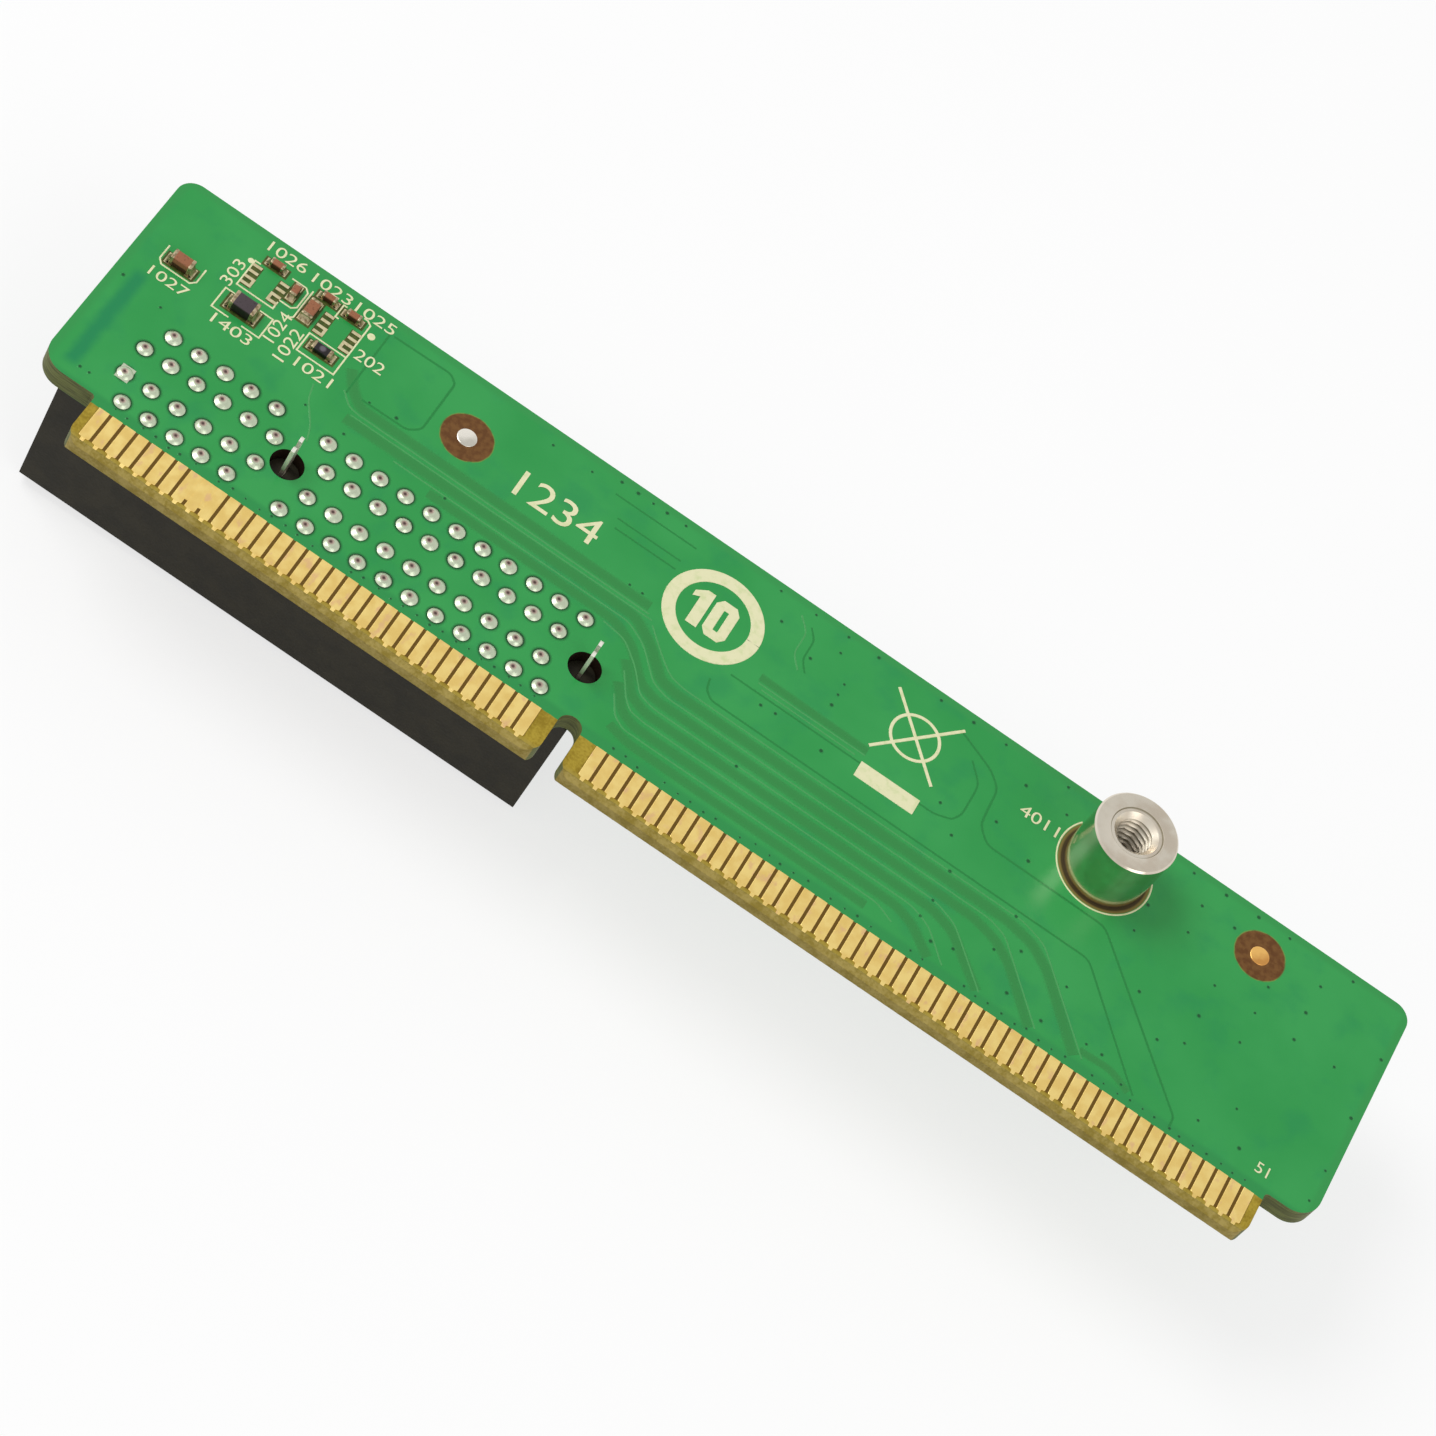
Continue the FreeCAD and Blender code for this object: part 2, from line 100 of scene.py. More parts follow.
class Wire:
    """An output socket of a node tree. Arithmetic on it adds Math nodes, and node() any other."""

    def __init__(self, tree, socket):
        self.tree = tree
        self.socket = socket

    def node(self, kind, inputs, output=0, **settings):
        """Add a node: its settings first, then a number or a Wire for each of its inputs."""
        made = self.tree.nodes.new(kind)
        for name, value in settings.items():
            setattr(made, name, value)
        for name, value in inputs.items():
            feed(self.tree, made.inputs[name], value)
        return Wire(self.tree, made.outputs[output])

    def math(self, operation, *values):
        """One Math node on the values, in order."""
        return self.node("ShaderNodeMath", dict(enumerate(values)), operation=operation)

    def __add__(self, other):
        return self.math("ADD", self, other)

    def __sub__(self, other):
        return self.math("SUBTRACT", self, other)

    def __rsub__(self, other):
        return self.math("SUBTRACT", other, self)

    def __mul__(self, other):
        return self.math("MULTIPLY", self, other)

    def __abs__(self):
        return self.math("ABSOLUTE", self)

    __radd__ = __add__
    __rmul__ = __mul__

    def least(self, other):
        """The smaller of two values."""
        return self.math("MINIMUM", self, other)

    def most(self, other):
        """The larger of two values."""
        return self.math("MAXIMUM", self, other)

    def rise(self, low, high):
        """Smooth step from 0 at low to 1 at high."""
        inputs = {"Value": self, "From Min": low, "From Max": high}
        return self.node("ShaderNodeMapRange", inputs, interpolation_type="SMOOTHSTEP")

    def between(self, start, end):
        """1 between two soft edges, and 0 outside them."""
        return self.rise(*start) * (1 - self.rise(*end))

    def blend(self, none, full):
        """Colour that goes from none to full as this mask goes from 0 to 1. A screen colour has
        three channels, and a linear one four."""
        none, full = (shade(*c) if isinstance(c, tuple) and len(c) == 3 else c for c in (none, full))
        return self.node("ShaderNodeMix", {0: self, 6: none, 7: full}, output=2, data_type="RGBA")

    def part(self, axis):
        """The x, y or z of a point."""
        return self.node("ShaderNodeSeparateXYZ", {0: self}, output="XYZ".index(axis))

    def away(self, x, y):
        """Distance along the board from (x, y), in millimetres."""
        flat = self.node("ShaderNodeVectorMath", {0: self, 1: (1, 1, 0)}, operation="MULTIPLY")
        spot = {0: flat, 1: (x, y, 0)}
        return flat.node("ShaderNodeVectorMath", spot, output=1, operation="DISTANCE")

    def cloud(self, scale, detail=2.0, stretch=(1, 1, 1)):
        """Noise from 0 to 1 with about scale lumps to the millimetre, squeezed along each axis."""
        point = self.node("ShaderNodeMapping", {"Vector": self, "Scale": stretch})
        inputs = {"Vector": point, "Scale": scale, "Detail": detail}
        return point.node("ShaderNodeTexNoise", inputs)


def shade(red, green, blue):
    """Linear colour of a screen colour whose channels run from 0 to 255."""
    screen = np.array((red, green, blue)) / 255
    linear = np.where(screen < 0.04045, screen / 12.92, ((screen + 0.055) / 1.055) ** 2.4)
    return (*linear.tolist(), 1.0)


def new_finish(name):
    """A new finish and the point being coloured, in millimetres from the slot's first contact."""
    made = bpy.data.materials.new(name)
    made.use_nodes = True
    tree = made.node_tree
    point = Wire(tree, tree.nodes.new("ShaderNodeTexCoord").outputs["Object"])
    moved = point.node("ShaderNodeVectorMath", {0: point, 1: card_origin}, operation="SUBTRACT")
    card = moved.node("ShaderNodeVectorMath", {0: moved, "Scale": 1000.0}, operation="SCALE")
    return made, card


def set_surface(finish, relief=None, depth=0.0, **values):
    """Set the surface's sockets, and bump it by a relief from 0 to 1 that is depth mm deep."""
    tree = finish.node_tree
    sockets = tree.nodes["Principled BSDF"].inputs
    if relief:
        bump = {"Height": relief, "Distance": depth / 1000, "Strength": 1.0}
        values["Normal"] = relief.node("ShaderNodeBump", bump)
    for name, value in values.items():
        feed(tree, sockets[name.replace("_", " ")], value)


def coat_nodes(finish, *names):
    """Give CAD nodes a finish through their own material slots."""
    for name in names:
        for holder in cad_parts[name].material_slots:
            holder.material = finish


def coating_green(card):
    """Green of the coating at a point: clouded over the copper with bluish patches, a shade
    duller along the edges and the strip above the gold, and bluish in a band at the slot's end."""
    x, y = card.part("X"), card.part("Y")
    green = card.cloud(0.12, 3.0).rise(0.3, 0.7).blend(green_deep, green_pale)
    patches = teal_share * card.cloud(0.3, 4.0).rise(0.5, 0.72)
    green = patches.blend(green, green_at_slot_end)
    edge = (x - board_left).least(board_right - x).least(board_back - y)
    green = (1 - edge.rise(*edge_band)).blend(green, green_at_edge)
    in_strip = 1 - (y - coating_line).rise(*strip_above_gold)
    green = in_strip.blend(green, green_in_strip)
    ragged = x + card.cloud(0.8, 3.0) * 0.5
    in_band = ragged.between(*slot_end_across) * y.between(*slot_end_along)
    return in_band.blend(green, green_at_slot_end)


board_finish, card = new_finish("coated_board")
x, y, z = (card.part(axis) for axis in "XYZ")
on_back = z.rise(-skin_edge, -skin_depth)
on_front = 1 - z.rise(board_bottom + skin_depth, board_bottom + skin_edge)
on_face = on_back.most(on_front)
speckle = card.cloud(2.2, 3.0).rise(0.35, 0.65)
cloth = (card.cloud(1.1, 3.0, (1, 0.6, 1)) + 0.7 * card.cloud(5.0)).rise(0.6, 1.1)
bare = cloth.blend(tongue_dark, tongue_light)
from_end = y - tongue_end
on_nose = (1 - from_end.rise(*nose_height)) * (0.5 + 0.5 * cloth)
bare = on_nose.blend(bare, tongue_nose)
# Painted shade: the narrow gaps between the fingers are painted dark ochre for the shade between them.
shade_in_finger_gaps = abs(x.math("FRACT", x) - 0.5).rise(*finger_gap_share) * y.rise(*finger_gap_end)
beside_fingers = x.between(*finger_spans[0]) + x.between(*finger_spans[1])
bare = (shade_in_finger_gaps * beside_fingers).blend(bare, shaded_ochre_between_fingers)
from_standoff = card.away(*standoff_place)
in_shadow = from_standoff.rise(*standoff_shadow)
standoff_ring = in_shadow.blend(standoff_ring_inner, standoff_ring_outer)
openings = 1 - (from_standoff - standoff_opening_radius).rise(*opening_edge)
bare = openings.blend(bare, standoff_ring)
dot_ring = speckle.blend(dot_ring_dark, dot_ring_light)
for node in ("fiducial_1", "fiducial_2"):
    from_dot = card.away(*box_middle(node)) + dot_opening_wobble * card.cloud(1.5)
    in_dot_ring = 1 - (from_dot - dot_opening_radius).rise(opening_edge[0], dot_opening_wobble)
    bare = in_dot_ring.blend(bare, dot_ring)
    openings = openings.most(in_dot_ring)
feathered_line = coating_line - feather_width / 2 + feather_width * card.cloud(1.6)
above_line = (y - feathered_line).rise(-edge_softness, edge_softness)
coated = on_face * above_line * (1 - openings * on_back)
layers = card.cloud(1.4, 3.0, (0.5, 0.5, 9.0)).rise(0.38, 0.62)
routed = layers.blend(routed_dark, routed_light)
bevel = cloth.blend(bevel_dark, bevel_light)
routed = (1 - from_end.rise(*bevel_height)).blend(routed, bevel)
# Painted shade: the walls of the lock holes are painted near black brown for the shade inside the holes.
for node in ("board_lock_1", "board_lock_2"):
    in_hole = 1 - (card.away(*box_middle(node)) - lock_hole_radius).rise(*lock_hole_wall)
    routed = in_hole.blend(routed, shaded_hole_wall)
colour = on_face.blend(routed, coated.blend(bare, coating_green(card)))
ripple = card.cloud(0.9, 2.0) * 0.8 + 0.2 * card.cloud(4.0)
set_surface(
    board_finish,
    relief=ripple,
    depth=0.01,
    Base_Color=colour,
    Roughness=coated * (coating_roughness - laminate_roughness) + laminate_roughness,
    Specular_IOR_Level=board_specular,
)
coat_nodes(board_finish, "circuit_board")

# ---------------- Copper under the coating
# Etched tracks and the gaps round them show faintly through the green: wide runs a little duller,
# thin tracks a little brighter. Plated holes join the two faces and are closed by the coating.
run_height, gap_height, track_height, hole_height = 0.003, 0.006, 0.01, 0.016
run_green, gap_green, track_green, hole_green = (49, 137, 67), (32, 130, 60), (76, 158, 89), (18, 82, 42)
runs = (
    (1.05, (12.8, 5.75), (35.6, 5.7), (37.4, 4.5), (39.2, 2.6), (40.4, 2.37), (66.4, 2.35),
     (68.6, 1.9), (70.3, 0.8), (74.4, -3.6)),
    (0.95, (20.0, 4.5), (34.6, 4.5), (36.4, 3.6), (38.2, 1.5), (39.6, 1.03), (64.4, 1.0),
     (66.4, 0.5), (67.9, -0.5), (71.0, -3.8)),
    (0.95, (36.6, 2.4), (38.2, 0.2), (39.6, -0.32), (61.8, -0.3), (63.7, -0.9), (66.9, -3.7)),
    (0.95, (37.0, 0.6), (38.2, -1.2), (39.4, -1.7), (59.7, -1.7), (61.2, -2.2), (63.1, -3.7)),
    (0.9, (38.0, -2.6), (39.6, -3.05), (58.0, -3.05)),
    (1.0, (11.3, 9.4), (12.0, 8.2), (13.2, 7.1), (36.0, 7.05)),
    (0.8, (44.5, 7.4), (53.0, 7.3)),
    (0.7, (74.6, -3.0), (77.0, -2.9), (78.6, -3.6)),
)
gaps = (
    (0.22, (12.2, 13.6), (16.6, 13.7), (17.25, 13.2), (17.25, 8.5), (16.5, 7.8), (13.0, 7.75)),
    (0.2, (11.9, 7.5), (11.9, 13.5)),
    (0.2, (41.8, 5.0), (42.0, 4.1), (42.6, 3.55), (72.3, 3.45), (79.0, -3.6)),
    (0.22, (57.5, 13.2), (60.6, 11.8), (61.6, 10.8), (61.8, 7.6), (62.8, 6.5), (72.2, 6.4),
     (82.0, -3.2), (82.0, -4.1)),
    (0.19, (42.8, 6.2), (58.8, 6.15), (60.0, 6.6), (60.4, 7.4), (60.4, 10.2), (59.2, 11.6)),
    (0.18, (30.0, 13.2), (36.4, 13.2)),
    (0.18, (31.0, 11.6), (36.0, 11.6)),
    (0.18, (31.2, 10.8), (36.0, 10.8)),
    (0.18, (45.6, 13.2), (46.2, 12.4), (46.2, 10.6), (46.8, 9.7)),
)
tracks = (
    (0.14, (36.2, 6.5), (13.4, 6.55), (12.6, 6.7), (11.7, 7.6)),
    (0.12, (36.6, 6.2), (13.0, 6.2)),
    (0.13, (17.0, 5.05), (35.4, 5.05), (37.0, 4.2), (38.9, 2.1), (40.1, 1.7), (65.4, 1.65),
     (66.8, 1.2), (71.4, -3.6)),
    (0.13, (36.8, 5.9), (38.4, 4.3), (39.6, 3.3), (40.8, 3.05), (67.4, 3.0), (69.3, 2.4),
     (75.0, -3.5)),
    (0.13, (34.0, 3.95), (35.8, 3.7), (37.3, 2.4), (38.6, 0.7), (39.8, 0.35), (61.8, 0.35),
     (63.6, -0.3), (67.1, -3.7)),
    (0.13, (36.9, 1.6), (38.0, -0.2), (38.7, -0.85), (39.8, -1.0), (60.6, -1.0), (62.2, -1.6),
     (64.2, -3.6)),
    (0.13, (37.2, -0.4), (38.0, -1.8), (38.9, -2.35), (58.6, -2.38), (60.0, -3.0)),
    (0.12, (44.6, 6.9), (53.0, 6.9)),
    (0.12, (45.0, 6.55), (52.4, 6.5)),
    (0.13, (44.6, 13.6), (45.5, 12.6), (45.5, 10.6), (46.3, 9.6)),
    (0.13, (9.9, 6.6), (10.2, 5.4), (11.4, 3.6), (11.8, 2.4)),
)
plated_holes = (
    (48.1, 12.8), (43.7, 12.2), (46.6, 11.0), (49.4, 10.8), (49.4, 9.8), (49.4, 8.8), (34.1, 7.6),
    (35.1, 7.6), (50.4, 5.2), (45.5, 5.5), (46.6, 5.6), (58.8, 7.2), (61.6, 3.0), (61.6, 0.3),
    (61.4, -1.3), (62.8, -2.5), (64.3, -2.0), (46.3, 0.3), (63.1, 12.4), (62.6, 8.5), (65.7, 7.3),
    (66.4, 12.3), (60.5, 5.5), (66.8, 3.0), (66.6, -0.2), (68.2, 0.9), (71.9, 0.6), (71.5, -2.8),
    (68.7, -2.5), (74.8, -2.3), (76.0, -2.3), (78.0, -3.4), (74.0, 7.5), (74.0, 9.9), (77.2, 12.4),
    (77.2, 9.9), (79.8, 12.4), (80.4, 7.5), (80.4, 4.7), (80.4, 2.2), (83.6, 7.5), (83.6, 4.8),
    (83.6, 9.9), (86.7, 12.4), (86.6, 9.9), (86.7, 7.5), (89.9, 7.5), (85.4, 0.2), (83.5, -2.3),
    (86.7, -2.3), (78.7, 1.2), (76.2, 3.6), (92.4, 0.1), (92.3, -2.6), (92.4, 4.8), (92.5, 10.2),
    (21.1, 4.9), (13.4, 4.6), (10.3, 4.8), (-0.9, 4.7), (13.5, 7.9), (15.5, 8.1), (-2.5, -2.8),
    (-1.8, -2.8), (-4.1, 5.2), (24.8, 13.6), (27.9, 13.6),
)
back_row_height, back_row_columns = 14.3, (
    29.9, 31.2, 32.4, 33.5, 35.0, 42.6, 45.4, 48.0, 50.4, 55.4, 58.0, 60.6, 65.6, 75.7, 78.3, 80.9,
    83.4, 88.5,
)
strip_columns, strip_height, strip_share = (*range(1, 34), *range(39, 89)), -4.08, 0.8
strip_sideways, strip_upward, strip_size, strip_size_gain = 0.12, 0.14, 0.45, 0.35
hole_sizes, hole_sides, bank_step = (0.66, 1.0), 12, 0.03


def grid_faces(rows, columns, loop_rows=False, loop_columns=False):
    """Four-sided faces that join each point of a grid to the next row and the next column."""
    i = np.arange(rows if loop_rows else rows - 1)[:, None]
    j = np.arange(columns if loop_columns else columns - 1)[None, :]
    corners = ((i, j), (i + 1, j), (i + 1, j + 1), (i, j + 1))
    return np.stack([a % rows * columns + b % columns for a, b in corners], -1).reshape(-1, 4)


def ribbon(path, profile, middle=None):
    """A profile of (across, up) carried along a path on the board: at each point it stands square
    to the mean direction of the runs that meet there, and is widened to keep their width. middle
    says how far each point of the profile is from the rim, from 0 to 1."""
    path, profile = np.array(path, float), np.array(profile, float)
    steps = np.diff(path, axis=0)
    steps /= np.linalg.norm(steps, axis=1)[:, None]
    before, after = np.vstack((steps[:1], steps)), np.vstack((steps, steps[-1:]))
    along = before + after
    along /= np.linalg.norm(along, axis=1)[:, None]
    square = np.stack((-along[:, 1], along[:, 0]), -1) / (along * after).sum(1)[:, None]
    flat = path[:, None, :] + square[:, None, :] * profile[None, :, :1]
    up = np.broadcast_to(profile[None, :, 1:], (*flat.shape[:2], 1))
    points = np.concatenate((flat, up), -1).reshape(-1, 3)
    faces = grid_faces(len(path), len(profile))
    return (points, faces) if middle is None else (points, faces, np.tile(middle, len(path)))


def rounded(path, steps=4, cut=0.55):
    """A path with each inner corner swapped for a quadratic curve that starts and ends cut mm, or
    a third of the shorter run, from the corner."""
    path = np.array(path, float)
    share = np.linspace(0, 1, steps)[:, None]
    points = [path[:1]]
    for last, corner, following in zip(path, path[1:], path[2:]):
        back, on = last - corner, following - corner
        reach = min(cut, np.linalg.norm(back) / 3, np.linalg.norm(on) / 3)
        start = corner + back / np.linalg.norm(back) * reach
        end = corner + on / np.linalg.norm(on) * reach
        points.append((1 - share) ** 2 * start + 2 * share * (1 - share) * corner + share ** 2 * end)
    return np.vstack((*points, path[-1:]))


def soft_bank(path, width, height):
    """A low bank along a rounded path: its height, and its middle, fall to nothing at the rim."""
    across = np.array((-1, -0.62, 0, 0.62, 1)) * width / 2
    fall = np.array((0, 0.85, 1, 0.85, 0))
    return ribbon(rounded(path), np.stack((across, fall * height), -1), fall)


def angles_round(sides):
    """Equal angles round a full turn, as a column."""
    return np.linspace(0, 2 * np.pi, sides, endpoint=False)[:, None]


def turned(profile, sides, centre=(0, 0), middle=None, swell=0):
    """A profile of (radius, up) spun round an upright axis at centre. Swell is added to the
    radius, as one number or as one for each angle and each point of the profile."""
    profile, angles = np.array(profile, float), angles_round(sides)
    radius, up = profile[None, :, 0] + swell, profile[None, :, 1]
    x, y = centre[0] + radius * np.cos(angles), centre[1] + radius * np.sin(angles)
    points = np.stack((x, y, np.broadcast_to(up, x.shape)), -1).reshape(-1, 3)
    faces = grid_faces(sides, len(profile), loop_rows=True)
    if middle is None:
        return points, faces
    return points, faces, np.broadcast_to(middle, x.shape).reshape(-1)


def add_object(name, data):
    """A new object of the scene that holds a mesh, text, lamp or camera."""
    made = bpy.data.objects.new(name, data)
    bpy.context.scene.collection.objects.link(made)
    return made


def new_piece(name, parts, finish, stands_for=(), smooth=False):
    """One piece on the card, from (points in card millimetres, faces) and, on some, how near each
    point is to the middle. Points that meet are joined, so poles and seams are closed."""
    points, faces, middles, count = [], [], [], 0
    for part_points, part_faces, *part_middle in parts:
        points.append(np.asarray(part_points, float))
        faces += (count + np.asarray(part_faces)).tolist()
        middles.append(part_middle[0] if part_middle else np.zeros(len(part_points)))
        count += len(part_points)
    placed = np.concatenate(points) / 1000 + np.array(card_origin)
    mesh = bpy.data.meshes.new(name)
    mesh.from_pydata(placed.tolist(), [], faces)
    middle = mesh.attributes.new("middle", "FLOAT", "POINT")
    middle.data.foreach_set("value", np.concatenate(middles).astype(np.float32))
    joined = bmesh.new()
    joined.from_mesh(mesh)
    bmesh.ops.remove_doubles(joined, verts=joined.verts, dist=2e-7)
    joined.to_mesh(mesh)
    joined.free()
    mesh.polygons.foreach_set("use_smooth", [smooth] * len(mesh.polygons))
    mesh.materials.append(finish)
    piece = add_object(name, mesh)
    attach(piece, "root")
    if stands_for:
        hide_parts(*stands_for)
    return piece


def middle_of(card):
    """The mesh's own middle attribute, 0 at a rim and 1 in the middle."""
    return card.node("ShaderNodeAttribute", {}, output=2, attribute_name="middle")


def coating_finish(name, colour):
    """The board's own green at the rim, going to this colour in the middle."""
    finish, card = new_finish(name)
    set_surface(
        finish,
        relief=card.cloud(0.9),
        depth=0.008,
        Base_Color=middle_of(card).blend(coating_green(card), colour),
        Roughness=coating_roughness + 0.06 * card.cloud(2.0),
        Specular_IOR_Level=board_specular,
    )
    return finish


# Each bank is a little higher than the last, so that crossing ones don't share a plane.
for name, lines, height, colour in (
    ("wide_runs_under_coating", runs, run_height, run_green),
    ("gaps_in_copper", gaps, gap_height, gap_green),
    ("tracks_under_coating", tracks, track_height, track_green),
):
    banks = [
        soft_bank(path, width, height * (1 + bank_step * number))
        for number, (width, *path) in enumerate(lines)
    ]
    new_piece(name, banks, coating_finish(name, colour), smooth=True)
plated_holes += tuple((column, back_row_height) for column in back_row_columns)
chance = np.random.default_rng(11)
holes = [(*place, chance.uniform(*hole_sizes)) for place in plated_holes]
for column in strip_columns:
    sideways = chance.uniform(-strip_sideways, strip_sideways)
    upward = chance.uniform(-strip_upward, strip_upward)
    kept = chance.random()
    if kept < strip_share:
        size = strip_size + strip_size_gain * kept
        holes.append((column + sideways, strip_height + upward, size))
dip = np.array(((0.22, 0.0), (0.17, 0.75), (0.11, 1.0), (0.05, 0.7), (0.0, 0.6)))
dip_middle = (0, 0.2, 0.85, 1, 1)
new_piece(
    "plated_holes",
    [turned(dip * (size, hole_height), hole_sides, (x, y), dip_middle) for x, y, size in holes],
    coating_finish("coating_over_holes", hole_green),
    smooth=True,
)

# ---------------- Gold edge fingers
# Copper fingers plated with nickel and gold, bare of coating so that they slide into the host's
# connector. Each ends squarely and in a narrow stub; three of the back's are joined by webs.
finger_pitch, finger_width, finger_rise = 1.0, 0.77, 0.045
stub_width, stub_length = 0.33, 0.24
first_finger, short_count, long_first, long_count = 0.5, 34, 38.5, 51
tip_from_end, corner_length, under_coating = 0.28, 0.15, 0.02
joined_fingers, web_rise, web_from_end, web_from_middle = (7, 8), 0.04, 1.05, 0.46
gold_light, gold_mid, gold_pink = (255, 226, 142), (248, 213, 126), (242, 200, 142)


def finger(x, face):
    """One finger as a grid: its half width is full down to the corners, falls to the stub's as
    one minus the cube of the share of the corner passed, and its sides and ends are sloped."""
    share = np.linspace(0, 1, 5)
    tip = tongue_end + tip_from_end
    corner = tip + stub_length + corner_length * (1 - share)
    upper = (coating_line + under_coating, coating_line, (coating_line + tip) / 2)
    down = np.concatenate((upper, corner, [tip]))
    full, stub = finger_width / 2, stub_width / 2
    half = np.concatenate(([full] * 3, stub + (full - stub) * (1 - share ** 3), [0.8 * stub]))
    proud = np.array([0, 1, 1, 1, 1, 1, 1, 1, 0])[:, None]
    across = np.array((-1, -1, -0.92, 0.92, 1, 1))
    rise = np.array((0, 0.6, 1, 1, 0.6, 0)) * finger_rise * proud
    u, v = np.meshgrid(across, half)
    points = np.stack((x + u * v, np.repeat(down[:, None], len(across), 1), rise), -1)
    faces = grid_faces(len(down), len(across))[:, ::-1]
    if face == "front":
        points[..., 2] = board_bottom - points[..., 2]
        faces = faces[:, ::-1]
    return points.reshape(-1, 3), faces


def low_block(x0, x1, y0, y1, rise, slope=0.02):
    """A closed low block on the board: a rectangle whose top is drawn in by the slope."""
    low = ((x0, y0, 0), (x1, y0, 0), (x1, y1, 0), (x0, y1, 0))
    top = ((x0 + slope, y0 + slope, rise), (x1 - slope, y0 + slope, rise),
           (x1 - slope, y1 - slope, rise), (x0 + slope, y1 - slope, rise))
    return low + top, ((0, 1, 5, 4), (1, 2, 6, 5), (2, 3, 7, 6), (3, 0, 4, 7), (4, 5, 6, 7))


gold_finish, card = new_finish("gold_plating")
patches = card.cloud(0.9, 3.0)
gold = patches.rise(0.35, 0.65).blend(gold_mid, gold_light)
gold = card.cloud(1.3, 3.0, (1, 0.6, 1)).rise(0.56, 0.72).blend(gold, gold_pink)
set_surface(
    gold_finish,
    relief=card.cloud(3.0, 4.0, (1, 0.3, 1)),
    depth=0.008,
    Base_Color=gold,
    Metallic=1.0,
    Roughness=0.26 + 0.16 * patches,
)
plated = [
    finger(first + finger_pitch * number, face)
    for face in ("back", "front")
    for first, count in ((first_finger, short_count), (long_first, long_count))
    for number in range(count)
]
for number in joined_fingers:
    left = first_finger + finger_pitch * number + web_from_middle * finger_width
    right = left + finger_pitch - 2 * web_from_middle * finger_width
    ends = tongue_end + web_from_end, coating_line + under_coating
    plated.append(low_block(left, right, *ends, web_rise))
finger_nodes = [f"edge_fingers_{face}_{end}" for face in ("back", "front") for end in ("short", "long")]
new_piece("gold_fingers", plated, gold_finish, finger_nodes)

# ---------------- White print
# Ink screened on the coating: outlines of the parts, their plain numbers, and the larger marks.
# It lies two hundredths of a millimetre thick and is a little worn.
ink_rise, ink_step, ink_width, least_face = 0.02, 0.0004, 0.125, 1e-7
ink_light, ink_worn = (232, 230, 187), (214, 221, 168)
outlines = (
    ((-2.97, 9.33), (-2.97, 8.05), (-2.65, 7.67), (-0.45, 7.67), (-0.12, 8.05), (-0.12, 9.33)),
    ((2.9, 9.07), (1.57, 9.07), (1.57, 7.17), (2.9, 7.17)),
    ((3.9, 9.07), (5.27, 9.07), (5.27, 7.17), (3.9, 7.17)),
    ((8.9, 9.87), (7.67, 9.87), (7.67, 8.13), (8.9, 8.13)),
    ((8.9, 8.13), (10.53, 8.13), (10.53, 13.2), (10.2, 13.45), (9.9, 13.45)),
    ((10.53, 9.87), (8.9, 9.87)),
    ((8.6, 13.4), (8.33, 13.4), (8.33, 12.2), (8.6, 12.2)),
    ((2.4, 12.3), (1.97, 12.3), (1.97, 9.82), (4.8, 9.82), (4.8, 10.5)),
    ((4.6, 12.8), (5.7, 12.8), (6.0, 12.5), (6.0, 11.0), (5.7, 10.7), (4.8, 10.7)),
    ((6.2, 12.9), (6.2, 10.2), (5.9, 9.9)),
)
numbers = (
    ("1026", (2.1, 5.0), (13.6, 14.5)), ("1023", (5.65, 8.6), (13.5, 14.4)),
    ("1025", (9.05, 12.05), (13.5, 14.4)), ("202", (10.85, 13.0), (10.2, 11.15)),
    ("1021", (8.05, 10.8), (6.9, 7.8)), ("1403", (2.07, 5.03), (6.05, 6.93)),
    ("1027", (-3.0, -0.1), (6.4, 7.25)), ("1024", (5.35, 6.25), (7.45, 10.1), True),
    ("1022", (6.6, 7.5), (6.6, 9.5), True), ("303", (0.87, 1.73), (9.3, 11.6), True),
    ("4011", (63.55, 66.5), (10.15, 11.1)), ("51", (88.2, 89.15), (-3.1, -2.25)),
    ("1234", (24.35, 30.65), (8.35, 10.6)),
)
dots = ((1.75, 12.1, 0.22), (11.0, 12.5, 0.28))
one = ((38.35, 7.75), (39.2, 7.75), (39.2, 10.9), (38.6, 10.9), (37.85, 10.35), (37.85, 9.85),
       (38.35, 10.1))
nought = ((40.37, 8.05), (40.7, 8.05), (40.91, 8.32), (40.91, 10.33), (40.7, 10.6),
          (40.04, 10.6), (39.83, 10.33), (39.83, 8.32), (40.04, 8.05), (40.37, 8.05))
nought_width, ring_centre, ring_radius, ring_width = 0.72, (39.78, 9.32), 3.13, 0.98
cross_centre, cross_radius, cross_width = (55.2, 10.45), 1.75, 0.24
cross_lines = ((52.6, 13.25), (57.75, 7.85)), ((57.8, 13.3), (52.85, 7.8))
bar, bar_width = ((53.0, 5.73), (57.6, 5.73)), 1.33
standoff_arc_radius, standoff_arc_turn, standoff_arc_width = 3.47, (142.6, 378.4), 0.12


def points_of(mesh):
    """A mesh's own points, as rows of x, y and z."""
    points = np.empty(3 * len(mesh.vertices), np.float32)
    mesh.vertices.foreach_get("co", points)
    return points.reshape(-1, 3).astype(float)


